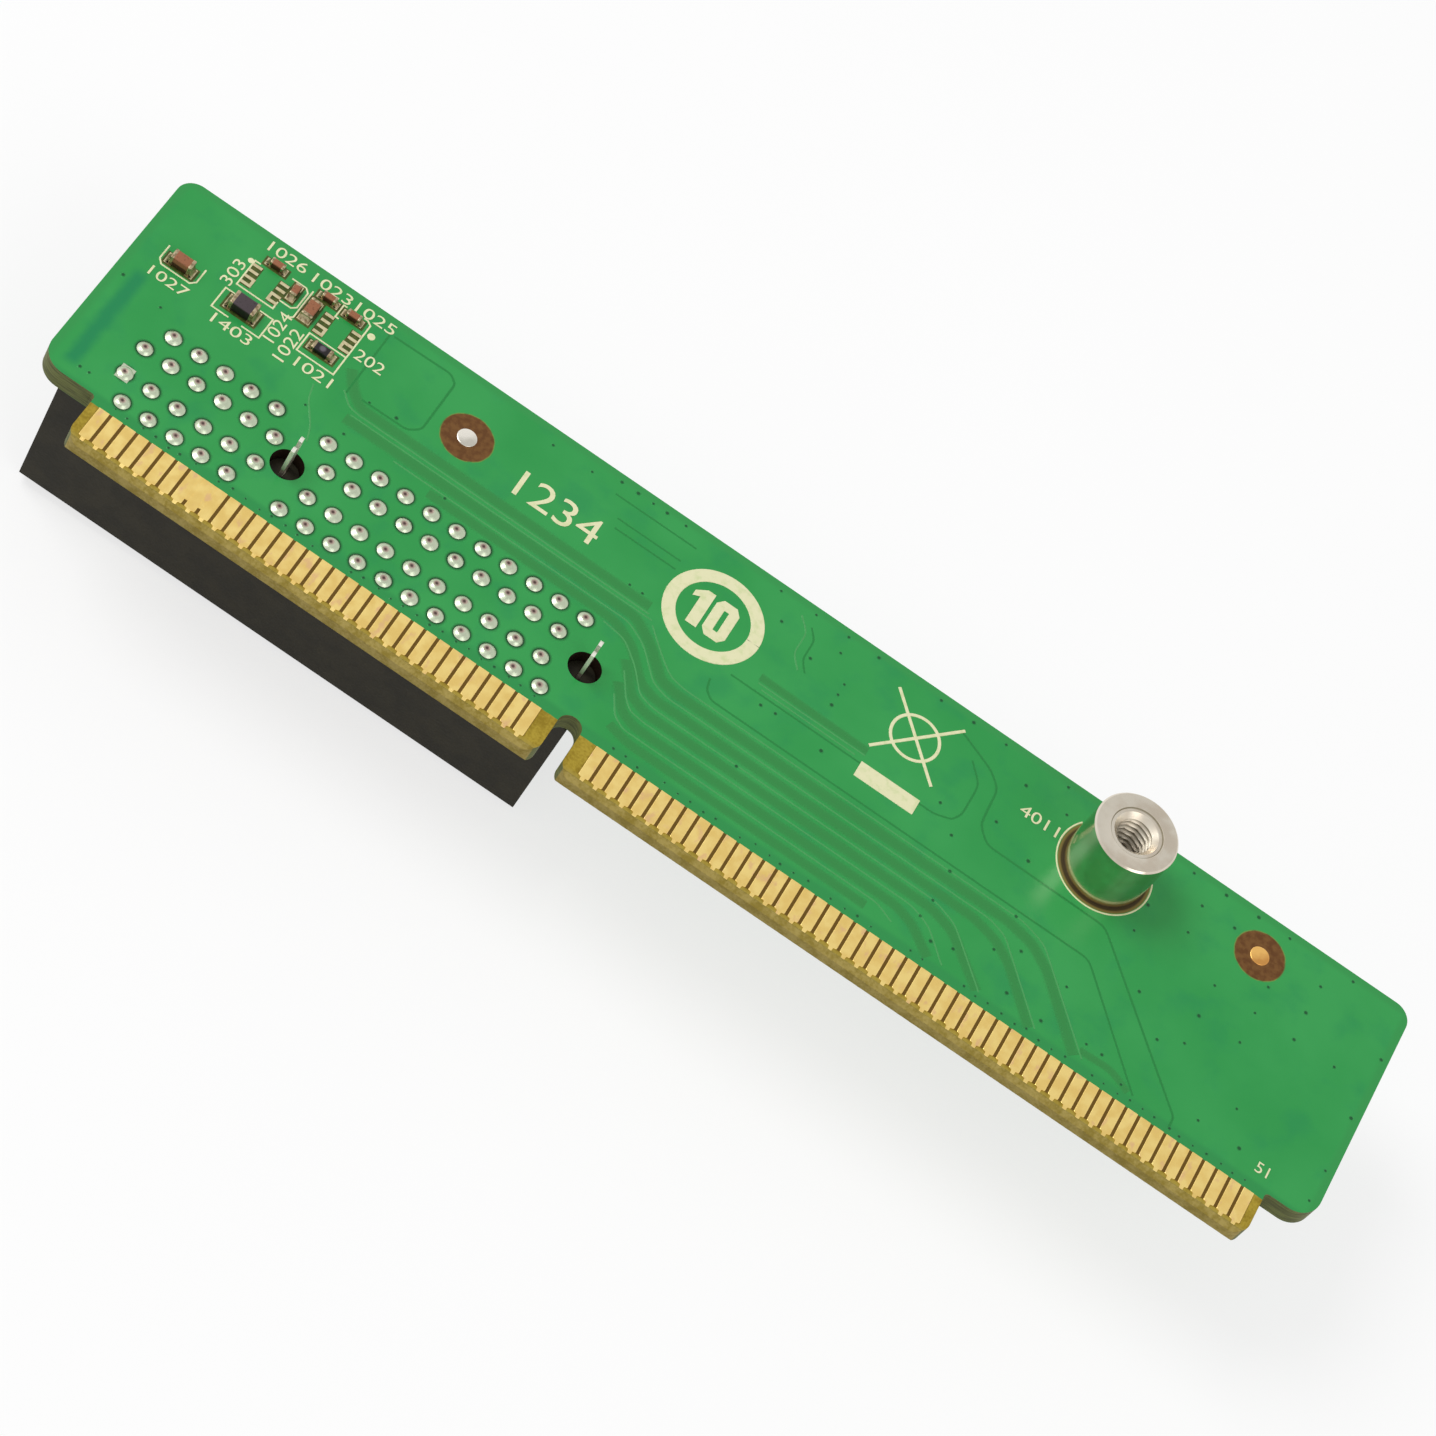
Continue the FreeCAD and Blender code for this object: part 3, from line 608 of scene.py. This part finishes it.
def flat_number(text, across, up, upright=False):
    """A number in the plain built-in typeface, made a mesh and then stretched over a box of the
    board. An upright one reads from the gold edge to the back."""
    letters = bpy.data.curves.new("letters", "FONT")
    letters.body = text
    letters.fill_mode = "FRONT"
    letters.resolution_u = 4
    shown = add_object("letters", letters)
    solid = bpy.data.meshes.new_from_object(shown.evaluated_get(bpy.context.evaluated_depsgraph_get()))
    points = points_of(solid)
    faces = [list(face.vertices) for face in solid.polygons if face.area > least_face]
    bpy.data.objects.remove(shown)
    if upright:
        points = np.stack((-points[:, 1], points[:, 0], points[:, 2]), -1)
    low, high = points.min(0), points.max(0)
    share = (points[:, :2] - low[:2]) / (high - low)[:2]
    x = across[0] + share[:, 0] * (across[1] - across[0])
    y = up[0] + share[:, 1] * (up[1] - up[0])
    return np.stack((x, y, np.full(len(x), ink_rise)), -1), faces


def arc(centre, radius, start, end, steps):
    """Points at equal steps round a circle, from one angle to another, in degrees."""
    angles = np.radians(np.linspace(start, end, steps))
    return np.stack((centre[0] + radius * np.cos(angles), centre[1] + radius * np.sin(angles)), -1)


def stroke(path, width, layer):
    """A line of ink: up one side, a flat top, and down the other. Each layer lies a little above
    the last, so that crossing strokes don't share a plane."""
    half, rise = width / 2, ink_rise + ink_step * layer
    slope = min(rise, width / 4)
    return ribbon(path, ((-half, 0), (slope - half, rise), (half - slope, rise), (half, 0)))


ink_finish, card = new_finish("white_ink")
patch = card.cloud(1.8, 4.0).rise(0.45, 0.75)
set_surface(
    ink_finish,
    relief=card.cloud(6.0),
    depth=0.006,
    Base_Color=patch.blend(ink_light, ink_worn),
    Roughness=0.55 + 0.15 * patch,
    Specular_IOR_Level=board_specular,
)
lines = [(path, ink_width) for path in outlines]
lines += [
    (arc(standoff_place, standoff_arc_radius, *standoff_arc_turn, 56), standoff_arc_width),
    (arc(ring_centre, ring_radius, 0, 360, 72), ring_width),
    (nought, nought_width),
    (arc(cross_centre, cross_radius, 0, 360, 48), cross_width),
    (cross_lines[0], cross_width),
    (cross_lines[1], cross_width),
    (bar, bar_width),
]
marks = [stroke(path, width, layer) for layer, (path, width) in enumerate(lines)]
marks += [flat_number(*number) for number in numbers]
for x, y, size in dots:
    marks.append(turned(((size, 0), (size - 0.03, ink_rise), (0, ink_rise)), 16, (x, y)))
marks.append(([(x, y, ink_rise) for x, y in one], [list(range(len(one)))]))
new_piece("white_print", marks, ink_finish)

# ---------------- Slot housing
# Glass-filled plastic, moulded in one piece with its feet and pegs, near black with a faint
# brown cast. The mould leaves a fine grain, and the long walls a slight sheen.
housing_dark, housing_light, housing_specular = (34, 31, 20), (46, 42, 29), 0.2

housing_finish, card = new_finish("moulded_housing")
grain = card.cloud(5.0, 3.0)
set_surface(
    housing_finish,
    relief=grain,
    depth=0.012,
    Base_Color=card.cloud(0.6, 3.0).rise(0.3, 0.7).blend(housing_dark, housing_light),
    Roughness=0.45 + 0.16 * grain,
    Specular_IOR_Level=housing_specular,
)
coat_nodes(housing_finish, "slot_housing")

# ---------------- Slot contacts
# Phosphor bronze strip, stamped and bent, gold plated where it touches the add-in card and tinned
# on the tail that goes through the board.
contact_gold, contact_tarnish, contact_tin = (226, 190, 104), (196, 156, 82), (200, 198, 190)
tinned_above = (-4.2, -3.8)

contact_finish, card = new_finish("plated_contacts")
on_tail = card.part("Z").rise(*tinned_above)
streaks = card.cloud(3.0, 3.0, (1, 1, 0.25))
plating = streaks.rise(0.5, 0.75).blend(contact_gold, contact_tarnish)
set_surface(
    contact_finish,
    relief=streaks,
    depth=0.006,
    Base_Color=on_tail.blend(plating, contact_tin),
    Metallic=1.0,
    Roughness=0.22 + 0.18 * streaks,
)
coat_nodes(contact_finish, *[f"slot_contacts_row_{row}" for row in (1, 2, 3, 4)])

# ---------------- Solder joints
# Wave-soldered joints, one over each tail: the solder stands on its pad in a low dome, and the
# tail's cut end leaves a warm patch and a brown pit off the middle. No two are quite alike.
joint_radius, joint_height, joint_rings, joint_sides = 0.57, 0.2, 10, 20
tail_radius, pit_place, pit_spread, pit_depth = 0.28, (-0.09, 0.07), 0.045, 0.05
height_share, width_share, most_lean, pit_shift, crown_share = (0.8, 1.0), (0.95, 1.03), 0.04, 0.05, 0.9
# The solder's pale grey rim colour has a green tint painted in: a painted reflection of the coating.
solder_with_green_reflection, solder_warm, pit_brown = (200, 210, 184), (176, 154, 142), (76, 54, 50)
halo_green = (12, 66, 30)
halo, halo_middle = ((0.8, 0.0), (0.68, 0.004), (0.6, 0.005), (0.45, 0.005)), (0, 0.45, 1, 1)
first_pad, first_pad_rise = (-0.5, 0.5, -1.85, -0.62), 0.03
joint_nodes = [f"solder_joints_row_{row}" for row in (1, 2, 3, 4)]


def solder_joint(x, y, chance):
    """Height over a disc: flat as wide as the tail, then falling as one minus the square of the
    share of the radius, less a round pit; each joint has its own height, lean and pit."""
    height = joint_height * chance.uniform(*height_share)
    width = joint_radius * chance.uniform(*width_share)
    lean = chance.uniform(-most_lean, most_lean, 2)
    pit = np.array(pit_place) + chance.uniform(-pit_shift, pit_shift, 2)
    share, angles = np.linspace(1, 0, joint_rings)[None, :], angles_round(joint_sides)
    across, along = width * share * np.cos(angles), width * share * np.sin(angles)
    flank = np.clip((1 - share ** 2) / (1 - (tail_radius / width) ** 2), 0, 1)
    near_pit = np.exp(-((across - pit[0]) ** 2 + (along - pit[1]) ** 2) / pit_spread)
    up = height * flank - pit_depth * near_pit * flank
    points = np.stack((x + across + lean[0] * flank, y + along + lean[1] * flank, up), -1)
    faces = grid_faces(joint_sides, joint_rings, loop_rows=True)
    return points.reshape(-1, 3), faces, (near_pit * flank).reshape(-1)


solder_finish, card = new_finish("solder")
dull = card.cloud(3.0, 3.0)
bright = middle_of(card).rise(0.05, 0.6).blend(solder_with_green_reflection, solder_warm)
in_pit = middle_of(card).rise(0.55, 0.95)
set_surface(
    solder_finish,
    relief=dull,
    depth=0.003,
    Base_Color=in_pit.blend(bright, pit_brown),
    Metallic=1.0 - 0.7 * in_pit,
    Roughness=0.28 + 0.2 * dull,
)
chance = np.random.default_rng(4)
joints, halos, places = [], [], []
for node in joint_nodes:
    points = (points_of(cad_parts[node].data) - np.array(card_origin)) * 1000
    middle = (points[:, 1].min() + points[:, 1].max()) / 2
    crowns = points[points[:, 2] > crown_share * points[:, 2].max()]
    places += [(column, middle) for column in sorted(set(np.round(crowns[:, 0]).astype(int)))]
for column, middle in places:
    joints.append(solder_joint(column, middle, chance))
    halos.append(turned(halo, 24, (column, middle), halo_middle))
new_piece("solder_joints", joints, solder_finish, joint_nodes, smooth=True)
new_piece(
    "openings_round_joints", halos, coating_finish("coating_at_joints", halo_green),
    smooth=True,
)
new_piece("first_square_pad", [low_block(*first_pad, first_pad_rise)], solder_finish)

# ---------------- Board locks
# Spring steel strip pressed into the housing and forked at the top. The legs snap through the
# board beside a plastic peg, and only their thin edges and tips face the back. The steel is
# painted lighter towards the tips and darker lower down: painted light and painted shade.
steel_lit_tips, steel_shaded_low, painted_light_above = (240, 238, 226), (150, 142, 126), (0.2, 1.8)

lock_finish, card = new_finish("lock_steel")
# Painted light and shade: the steel goes from the darker tone low down to the lighter one at the tips.
painted_tip_light = card.part("Z").rise(*painted_light_above)
rolled = card.cloud(4.0, 3.0, (1, 1, 0.2))
set_surface(
    lock_finish,
    relief=rolled,
    depth=0.008,
    Base_Color=painted_tip_light.blend(steel_shaded_low, steel_lit_tips),
    Metallic=0.45,
    Roughness=0.3 + 0.15 * rolled,
)
coat_nodes(lock_finish, "board_lock_1", "board_lock_2")

# ---------------- Standoff
# Turned from steel bar, nickel plated and pressed into the board. Its bore is countersunk and
# tapped with an M3 thread that takes the screw of the bracket or case.
shank_radius, shank_short, edge_chamfer = 2.1, 0.1, 0.12
core_radius, thread_depth, thread_pitch, mouth_radius = 1.25, 0.24, 0.5, 1.6
step_radius, step_depth, crease, bore_sides, bore_steps = 1.88, 0.1, 0.02, 96, 110
groove_fade, groove_steepness, crease_angle = 0.25, 1.25, 28
nickel_light, nickel_warm, thread_shade = (224, 216, 200), (212, 200, 182), (150, 142, 122)

ring_top = card_box("standoff")[1][2]
step_floor, shank_end = ring_top - step_depth, board_bottom + shank_short
bore_top = step_floor - (mouth_radius - core_radius)


def tapped_bore():
    """Wall of the bore: its radius is the core's plus a triangle wave in (height / pitch - turn),
    which draws a helical groove, and the groove fades out into the countersink."""
    up = np.linspace(bore_top, shank_end, bore_steps)
    turn = angles_round(bore_sides) / (2 * np.pi)
    wave = 1 - 2 * np.abs((up / thread_pitch - turn) % 1 - 0.5)
    fade = np.clip(np.minimum(bore_top - up, up - shank_end) / groove_fade, 0, 1)
    groove = np.clip(groove_steepness * (wave - 0.5) + 0.5, 0, 1) * fade
    core = np.stack((np.full(bore_steps, core_radius), up), -1)
    # The middle attribute rises in the groove, where the nickel is rougher and painted darker as painted
    # shade.
    return turned(core, bore_sides, standoff_place, 0.5 + 0.5 * groove, thread_depth * groove)


nickel_finish, card = new_finish("standoff_nickel")
turning = card.cloud(5.0, 2.0, (0.15, 0.15, 3.0))
nickel = card.cloud(0.7, 2.0).rise(0.35, 0.65).blend(nickel_light, nickel_warm)
set_surface(
    nickel_finish,
    relief=turning,
    depth=0.003,
    # Painted shade: where the middle attribute is high, the nickel goes to the darker tone.
    Base_Color=middle_of(card).rise(0.5, 1.0).blend(nickel, thread_shade),
    Metallic=1.0,
    Roughness=0.14 + 0.08 * turning + 0.4 * middle_of(card),
)
rim_radius, chamfer_foot = standoff_radius - edge_chamfer, ring_top - edge_chamfer
outside = (
    (core_radius, shank_end), (shank_radius, shank_end), (shank_radius, 0.0), (standoff_radius, 0.0),
    (standoff_radius, chamfer_foot - crease), (standoff_radius, chamfer_foot),
    (rim_radius, ring_top), (rim_radius - crease, ring_top),
    (step_radius + 0.06, ring_top), (step_radius, ring_top - crease),
    (step_radius - 0.05, step_floor), (step_radius - 0.09, step_floor), (mouth_radius, step_floor),
    (core_radius, bore_top),
)
# Middle attribute of the outside: high down the step's wall and towards the bore, for roughness and
# painted shade.
rough_and_shaded = [0] * (len(outside) - 5) + [1.0, 1.0, 0.2, 0.3, 0.6]
walls = [turned(outside, bore_sides, standoff_place, rough_and_shaded), tapped_bore()]
standoff = new_piece("tapped_standoff", walls, nickel_finish, ("standoff",), smooth=True)
standoff.modifiers.new("turned_edges", "EDGE_SPLIT").split_angle = math.radians(crease_angle)

# ---------------- Placement dots
# Bare copper dots in a clearing of the copper and the coating, seen by the machine that places
# the parts. One is tinned and a little domed, and one has kept its copper colour.
dot_rise, dot_tin, dot_tin_shade_and_stain = 0.05, (252, 247, 236), (214, 210, 198)
dot_copper, dot_copper_shade_and_stain = (248, 196, 112), (216, 156, 84)


def placement_dot(node, name, bright, dull, roughness):
    """A disc with a low domed top, which falls by 0.6 of the square of the share of the radius,
    in copper that is painted darker towards one side, as painted shade, and in clouded stains."""
    (low, high), middle = card_box(node), box_middle(node)
    radius = (high[0] - low[0]) / 2
    share = np.array((1, 0.97, 0.9, 0.75, 0.5, 0.25, 0))
    profile = np.stack((share * radius, dot_rise * (1 - 0.6 * share ** 2) * (share < 1)), -1)
    finish, card = new_finish(name)
    stain = card.cloud(2.2, 3.0)
    # Painted shade: the colour goes to the dull tone towards one side of the dot, broken up by the
    # stains.
    across = (card.part("X") - middle[0]) - (card.part("Y") - middle[1])
    shade_and_stain = (across + stain).rise(0.1, 1.1)
    set_surface(
        finish,
        relief=stain,
        depth=0.01,
        Base_Color=shade_and_stain.blend(bright, dull),
        Metallic=1.0,
        Roughness=roughness + 0.15 * stain,
    )
    new_piece(name, [turned(profile, 40, middle)], finish, (node,), smooth=True)


placement_dot("fiducial_1", "tinned_dot", dot_tin, dot_tin_shade_and_stain, 0.2)
placement_dot("fiducial_2", "copper_dot", dot_copper, dot_copper_shade_and_stain, 0.3)

# ---------------- Chips
# Six capacitors, a ferrite bead and a resistor: fired ceramic bricks with metal ends dipped on,
# each soldered by its ends to two tinned lands, with a hollow fillet of solder up each end.
chip_rounding, end_overlap, fillet_reach, fillet_share, fillet_foot = 0.09, 0.02, 0.26, 0.75, 0.05
land_past_end, land_margin = 0.28, 0.16
capacitor_top, capacitor_shade_and_speckle = (152, 98, 68), (66, 38, 20)
ferrite_top, ferrite_shade_and_speckle = (70, 60, 64), (26, 20, 18)
resistor_top, resistor_top_spot, resistor_shade_and_speckle = (34, 28, 30), (104, 96, 104), (20, 16, 16)
end_light, end_dull = (190, 174, 142), (122, 102, 74)
ceramic_specular, spot_edge = 0.3, (0.12, 0.3)
chip_names = [f"capacitor_{number}" for number in range(1, 7)] + ["ferrite_bead", "resistor"]


def rounded_brick(low, high, radius, steps=4):
    """A ball of that radius pulled apart to a brick: each point is the ball's, moved by the sign
    of its octant times what is left of the brick's half size."""
    low, high = np.array(low), np.array(high)
    middle, half = (low + high) / 2, (high - low) / 2 - radius
    quarter = np.linspace(0, np.pi / 2, steps)
    round_angles = np.concatenate([quarter + k * np.pi / 2 for k in range(4)])[:, None]
    signs = np.repeat([[1, 1], [-1, 1], [-1, -1], [1, -1]], steps, axis=0)
    rise_angles = np.concatenate((quarter - np.pi / 2, quarter))[None, :]
    level = np.repeat([-1, 1], steps)[None, :]
    x = middle[0] + signs[:, :1] * half[0] + radius * np.cos(round_angles) * np.cos(rise_angles)
    y = middle[1] + signs[:, 1:] * half[1] + radius * np.sin(round_angles) * np.cos(rise_angles)
    z = middle[2] + level * half[2] + radius * np.sin(rise_angles)
    points = np.stack((x, y, np.broadcast_to(z, x.shape)), -1).reshape(-1, 3)
    faces = grid_faces(4 * steps, 2 * steps, loop_rows=True)
    corners = np.arange(4) * steps * 2 * steps
    caps = [corners[::-1].tolist(), (corners + 2 * steps - 1).tolist()]
    return points, np.vstack((faces, caps))


def end_fillet(inner, outer, side_low, side_high, top, across):
    """Solder between a chip's end and its land: the height falls as one minus the sine of the
    distance out, and the sides are drawn in towards the foot."""
    out = np.linspace(0, 1, 6)[:, None]
    side = np.linspace(-1, 1, 7)[None, :]
    reach = inner + (outer - inner) * out * np.ones_like(side)
    drawn = 1 - 0.12 * out
    middle, half = (side_low + side_high) / 2, (side_high - side_low) / 2
    spread = middle + half * drawn * side
    fall = (1 - np.sin(out * np.pi / 2)) * (1 - 0.5 * np.abs(side) ** 6)
    up = fillet_foot + (top - fillet_foot) * fall
    flat = (spread, reach) if across else (reach, spread)
    points = np.stack((*flat, up), -1).reshape(-1, 3)
    faces = grid_faces(6, 7)
    upward = (outer > inner) != across
    return points, faces if upward else faces[:, ::-1]


def ceramic_finish(name, top, shade_and_speckle, seat, gloss, patch=None):
    """Fired ceramic: pale on the top and darker down the sides, which is painted shade, with a fine
    speckle of the darker colour, and on some a spot of another colour in the middle of the top."""
    finish, card = new_finish(name)
    speckle = card.cloud(7.0, 3.0)
    # Painted shade: below the seat the sides go to the darker colour.
    high = card.part("Z").rise(seat - 0.16, seat - 0.03)
    colour = high.blend(shade_and_speckle, top)
    # On some chips, a spot of another colour in the middle of the top.
    if patch:
        place, spot_colour = patch
        spot = high * (1 - card.away(*place).rise(*spot_edge))
        colour = spot.blend(colour, spot_colour)
    set_surface(
        finish,
        relief=speckle,
        depth=0.006,
        Base_Color=speckle.rise(0.55, 0.85).blend(colour, shade_and_speckle),
        Roughness=gloss + 0.15 * speckle,
        Specular_IOR_Level=ceramic_specular,
    )
    return finish


def dipped_finish(name, light, dull, scale, start, roughness):
    """Tin that the metal was dipped in: clouded between two tones, and rougher where duller."""
    finish, card = new_finish(name)
    clouds = card.cloud(scale, 3.0)
    set_surface(
        finish,
        relief=clouds,
        depth=0.008,
        Base_Color=clouds.rise(start, 0.7).blend(light, dull),
        Metallic=1.0,
        Roughness=roughness + 0.5 * roughness * clouds,
    )
    return finish


tin_finish = dipped_finish("tinned_ends", end_light, end_dull, 3.5, 0.4, 0.32)
resistor_spot = (box_middle("resistor"), resistor_top_spot)
chip_finishes = {
    "capacitor": ceramic_finish("capacitor_ceramic", capacitor_top, capacitor_shade_and_speckle, 0.55, 0.45),
    "ferrite_bead": ceramic_finish("ferrite_ceramic", ferrite_top, ferrite_shade_and_speckle, 0.9, 0.4),
    "resistor": ceramic_finish("resistor_glaze", resistor_top, resistor_shade_and_speckle, 0.47, 0.25, resistor_spot),
}
end_parts, land_margins = [], []
for chip in chip_names:
    (low, high), (ends_low, ends_high) = card_box(chip), card_box(chip + "_ends")
    across = bool(ends_high[1] - high[1] > ends_high[0] - high[0])
    axis, other = (1, 0) if across else (0, 1)
    kind = chip.rsplit("_", 1)[0] if chip.startswith("capacitor") else chip
    grow = np.zeros(3)
    grow[axis], grow[other] = 2 * chip_rounding, -end_overlap
    brick = rounded_brick(low - grow, high + grow - (0, 0, end_overlap), chip_rounding)
    new_piece(chip + "_body", [brick], chip_finishes[kind], (chip,), smooth=True)
    for near, far in ((low[axis], ends_low[axis]), (high[axis], ends_high[axis])):
        piece_low, piece_high = ends_low.copy(), ends_high.copy()
        piece_low[axis], piece_high[axis] = sorted((near, far))
        end_parts.append(rounded_brick(piece_low, piece_high, chip_rounding))
        foot = far + math.copysign(fillet_reach, far - near)
        sides = ends_low[other] + end_overlap, ends_high[other] - end_overlap
        end_parts.append(end_fillet(far, foot, *sides, fillet_share * high[2], across))
    past = np.full(2, land_margin)
    past[axis] += land_past_end
    land_margins.append((ends_low[:2] - past, ends_high[:2] + past))
new_piece(
    "chip_ends_and_fillets", end_parts, tin_finish,
    [chip + "_ends" for chip in chip_names], smooth=True,
)

# ---------------- Lands and empty footprints
# Copper lands tinned by dipping. The coating stops short of each, which leaves a thin frame of
# bare laminate. Two chip footprints were left empty.
margin_rise, margin_green, margin_olive = 0.004, (52, 74, 18), (84, 92, 36)
pad_light, pad_dull, pad_length, pad_margin = (226, 216, 176), (206, 192, 150), 0.68, 0.07

margin_finish, card = new_finish("bare_margin")
set_surface(
    margin_finish,
    relief=card.cloud(3.0),
    depth=0.006,
    Base_Color=card.cloud(2.5, 3.0).rise(0.3, 0.7).blend(margin_green, margin_olive),
    Roughness=0.5 + 0.1 * card.cloud(2.0),
    Specular_IOR_Level=board_specular,
)
for name in ("ic_pads_1", "ic_pads_2"):
    low, high = card_box(name)
    for left, right in ((low[0], low[0] + pad_length), (high[0] - pad_length, high[0])):
        corners = np.array((left, low[1])) - pad_margin, np.array((right, high[1])) + pad_margin
        land_margins.append(corners)
new_piece(
    "margins_of_lands",
    [low_block(low[0], high[0], low[1], high[1], margin_rise) for low, high in land_margins],
    margin_finish,
)
pad_finish = dipped_finish("tinned_pads", pad_light, pad_dull, 3.0, 0.35, 0.3)
coat_nodes(pad_finish, "chip_lands", "ic_pads_1", "ic_pads_2")

# ---------------- Studio
# A pale floor just under the slot's mating face, clear from below, a white surround that is
# softer overhead, and two broad lamps. The camera looks down on the card from the gold edge.
view_azimuth, view_elevation, view_roll = -3.195, 52.82, 36.84
view_distance, view_target = 0.3043, Vector((-0.00042, -0.00089, 0.01285))
lens_length, sensor_width = 118.38, 36.0
floor_radius, floor_drop, floor_sides = 1.6, 0.0002, 96
floor_tone, floor_seen, floor_glow, floor_fibre = 0.52, 0.27, 0.72, 0.01
surround_light, overhead_tone = 0.5, 0.72
lamps = (
    ("key_lamp", (-0.75, 0.05, 1.0), 0.9, 0.5, 3.7),
    ("fill_lamp", (0.7, -0.5, 0.8), 0.9, 0.6, 1.4),
)

azimuth, elevation, roll = (math.radians(a) for a in (view_azimuth, view_elevation, view_roll))
backward = Vector((
    math.sin(azimuth) * math.cos(elevation),
    -math.cos(azimuth) * math.cos(elevation),
    math.sin(elevation),
))
level = Vector((math.cos(azimuth), math.sin(azimuth), 0))
rightward = level * math.cos(roll) + backward.cross(level) * math.sin(roll)
turn = Matrix((rightward, backward.cross(rightward), backward)).transposed()
camera_lens = bpy.data.cameras.new("camera")
camera_lens.lens = lens_length
camera_lens.sensor_width = sensor_width
camera_lens.clip_start, camera_lens.clip_end = 0.01, 20
camera = add_object("camera", camera_lens)
camera.matrix_world = Matrix.Translation(view_target + backward * view_distance) @ turn.to_4x4()
bpy.context.scene.camera = camera
bpy.context.scene.view_settings.view_transform = "Standard"

for name, direction, distance, size, power in lamps:
    softbox = bpy.data.lights.new(name, "AREA")
    softbox.shape = "DISK"
    softbox.size = size
    softbox.energy = power
    place = Vector(direction).normalized() * distance
    facing = place.to_track_quat("Z", "Y").to_matrix().to_4x4()
    add_object(name, softbox).matrix_world = Matrix.Translation(place) @ facing


def grey(tone):
    """A linear grey of that tone."""
    return (tone, tone, tone, 1.0)


def seen_directly(tree):
    """1 for rays from the camera, a mirror or a clear surface, and 0 for rays of diffuse light."""
    rays = tree.nodes.new("ShaderNodeLightPath").outputs
    seen = Wire(tree, rays["Is Camera Ray"]).most(Wire(tree, rays["Is Glossy Ray"]))
    return seen.most(Wire(tree, rays["Is Transmission Ray"]))


surround = bpy.data.worlds.new("surround")
surround.use_nodes = True
bpy.context.scene.world = surround
tree = surround.node_tree
upward = Wire(tree, tree.nodes.new("ShaderNodeTexCoord").outputs["Generated"]).part("Z")
backdrop = upward.rise(0.0, 1.0).blend(grey(1.0), grey(overhead_tone))
light = seen_directly(tree).blend(grey(surround_light), backdrop)
tree.links.new(light.socket, tree.nodes["Background"].inputs["Color"])

floor_finish = bpy.data.materials.new("pale_floor")
floor_finish.use_nodes = True
tree = floor_finish.node_tree
seen = seen_directly(tree)
point = Wire(tree, tree.nodes.new("ShaderNodeTexCoord").outputs["Object"])
fibre = point.cloud(30.0, 3.0).blend(grey(floor_seen), grey(floor_seen + floor_fibre))
paper = seen.blend(grey(floor_tone), fibre)
set_surface(
    floor_finish,
    Base_Color=paper,
    Emission_Color=seen.blend(grey(0.0), grey(floor_glow)),
    Emission_Strength=1.0,
    Roughness=1.0,
    Specular_IOR_Level=0.0,
)
paper_shader = Wire(tree, tree.nodes["Principled BSDF"].outputs[0])
clear = paper.node("ShaderNodeBsdfTransparent", {})
under = paper.node("ShaderNodeNewGeometry", {}, output="Backfacing")
sheet = under.node("ShaderNodeMixShader", {0: under, 1: paper_shader, 2: clear})
tree.links.new(sheet.socket, tree.nodes["Material Output"].inputs["Surface"])
rim, _ = turned([(floor_radius, -floor_drop)], floor_sides)
floor_mesh = bpy.data.meshes.new("floor")
floor_mesh.from_pydata(rim.tolist(), [], [list(range(floor_sides))])
floor_mesh.materials.append(floor_finish)
add_object("floor", floor_mesh)
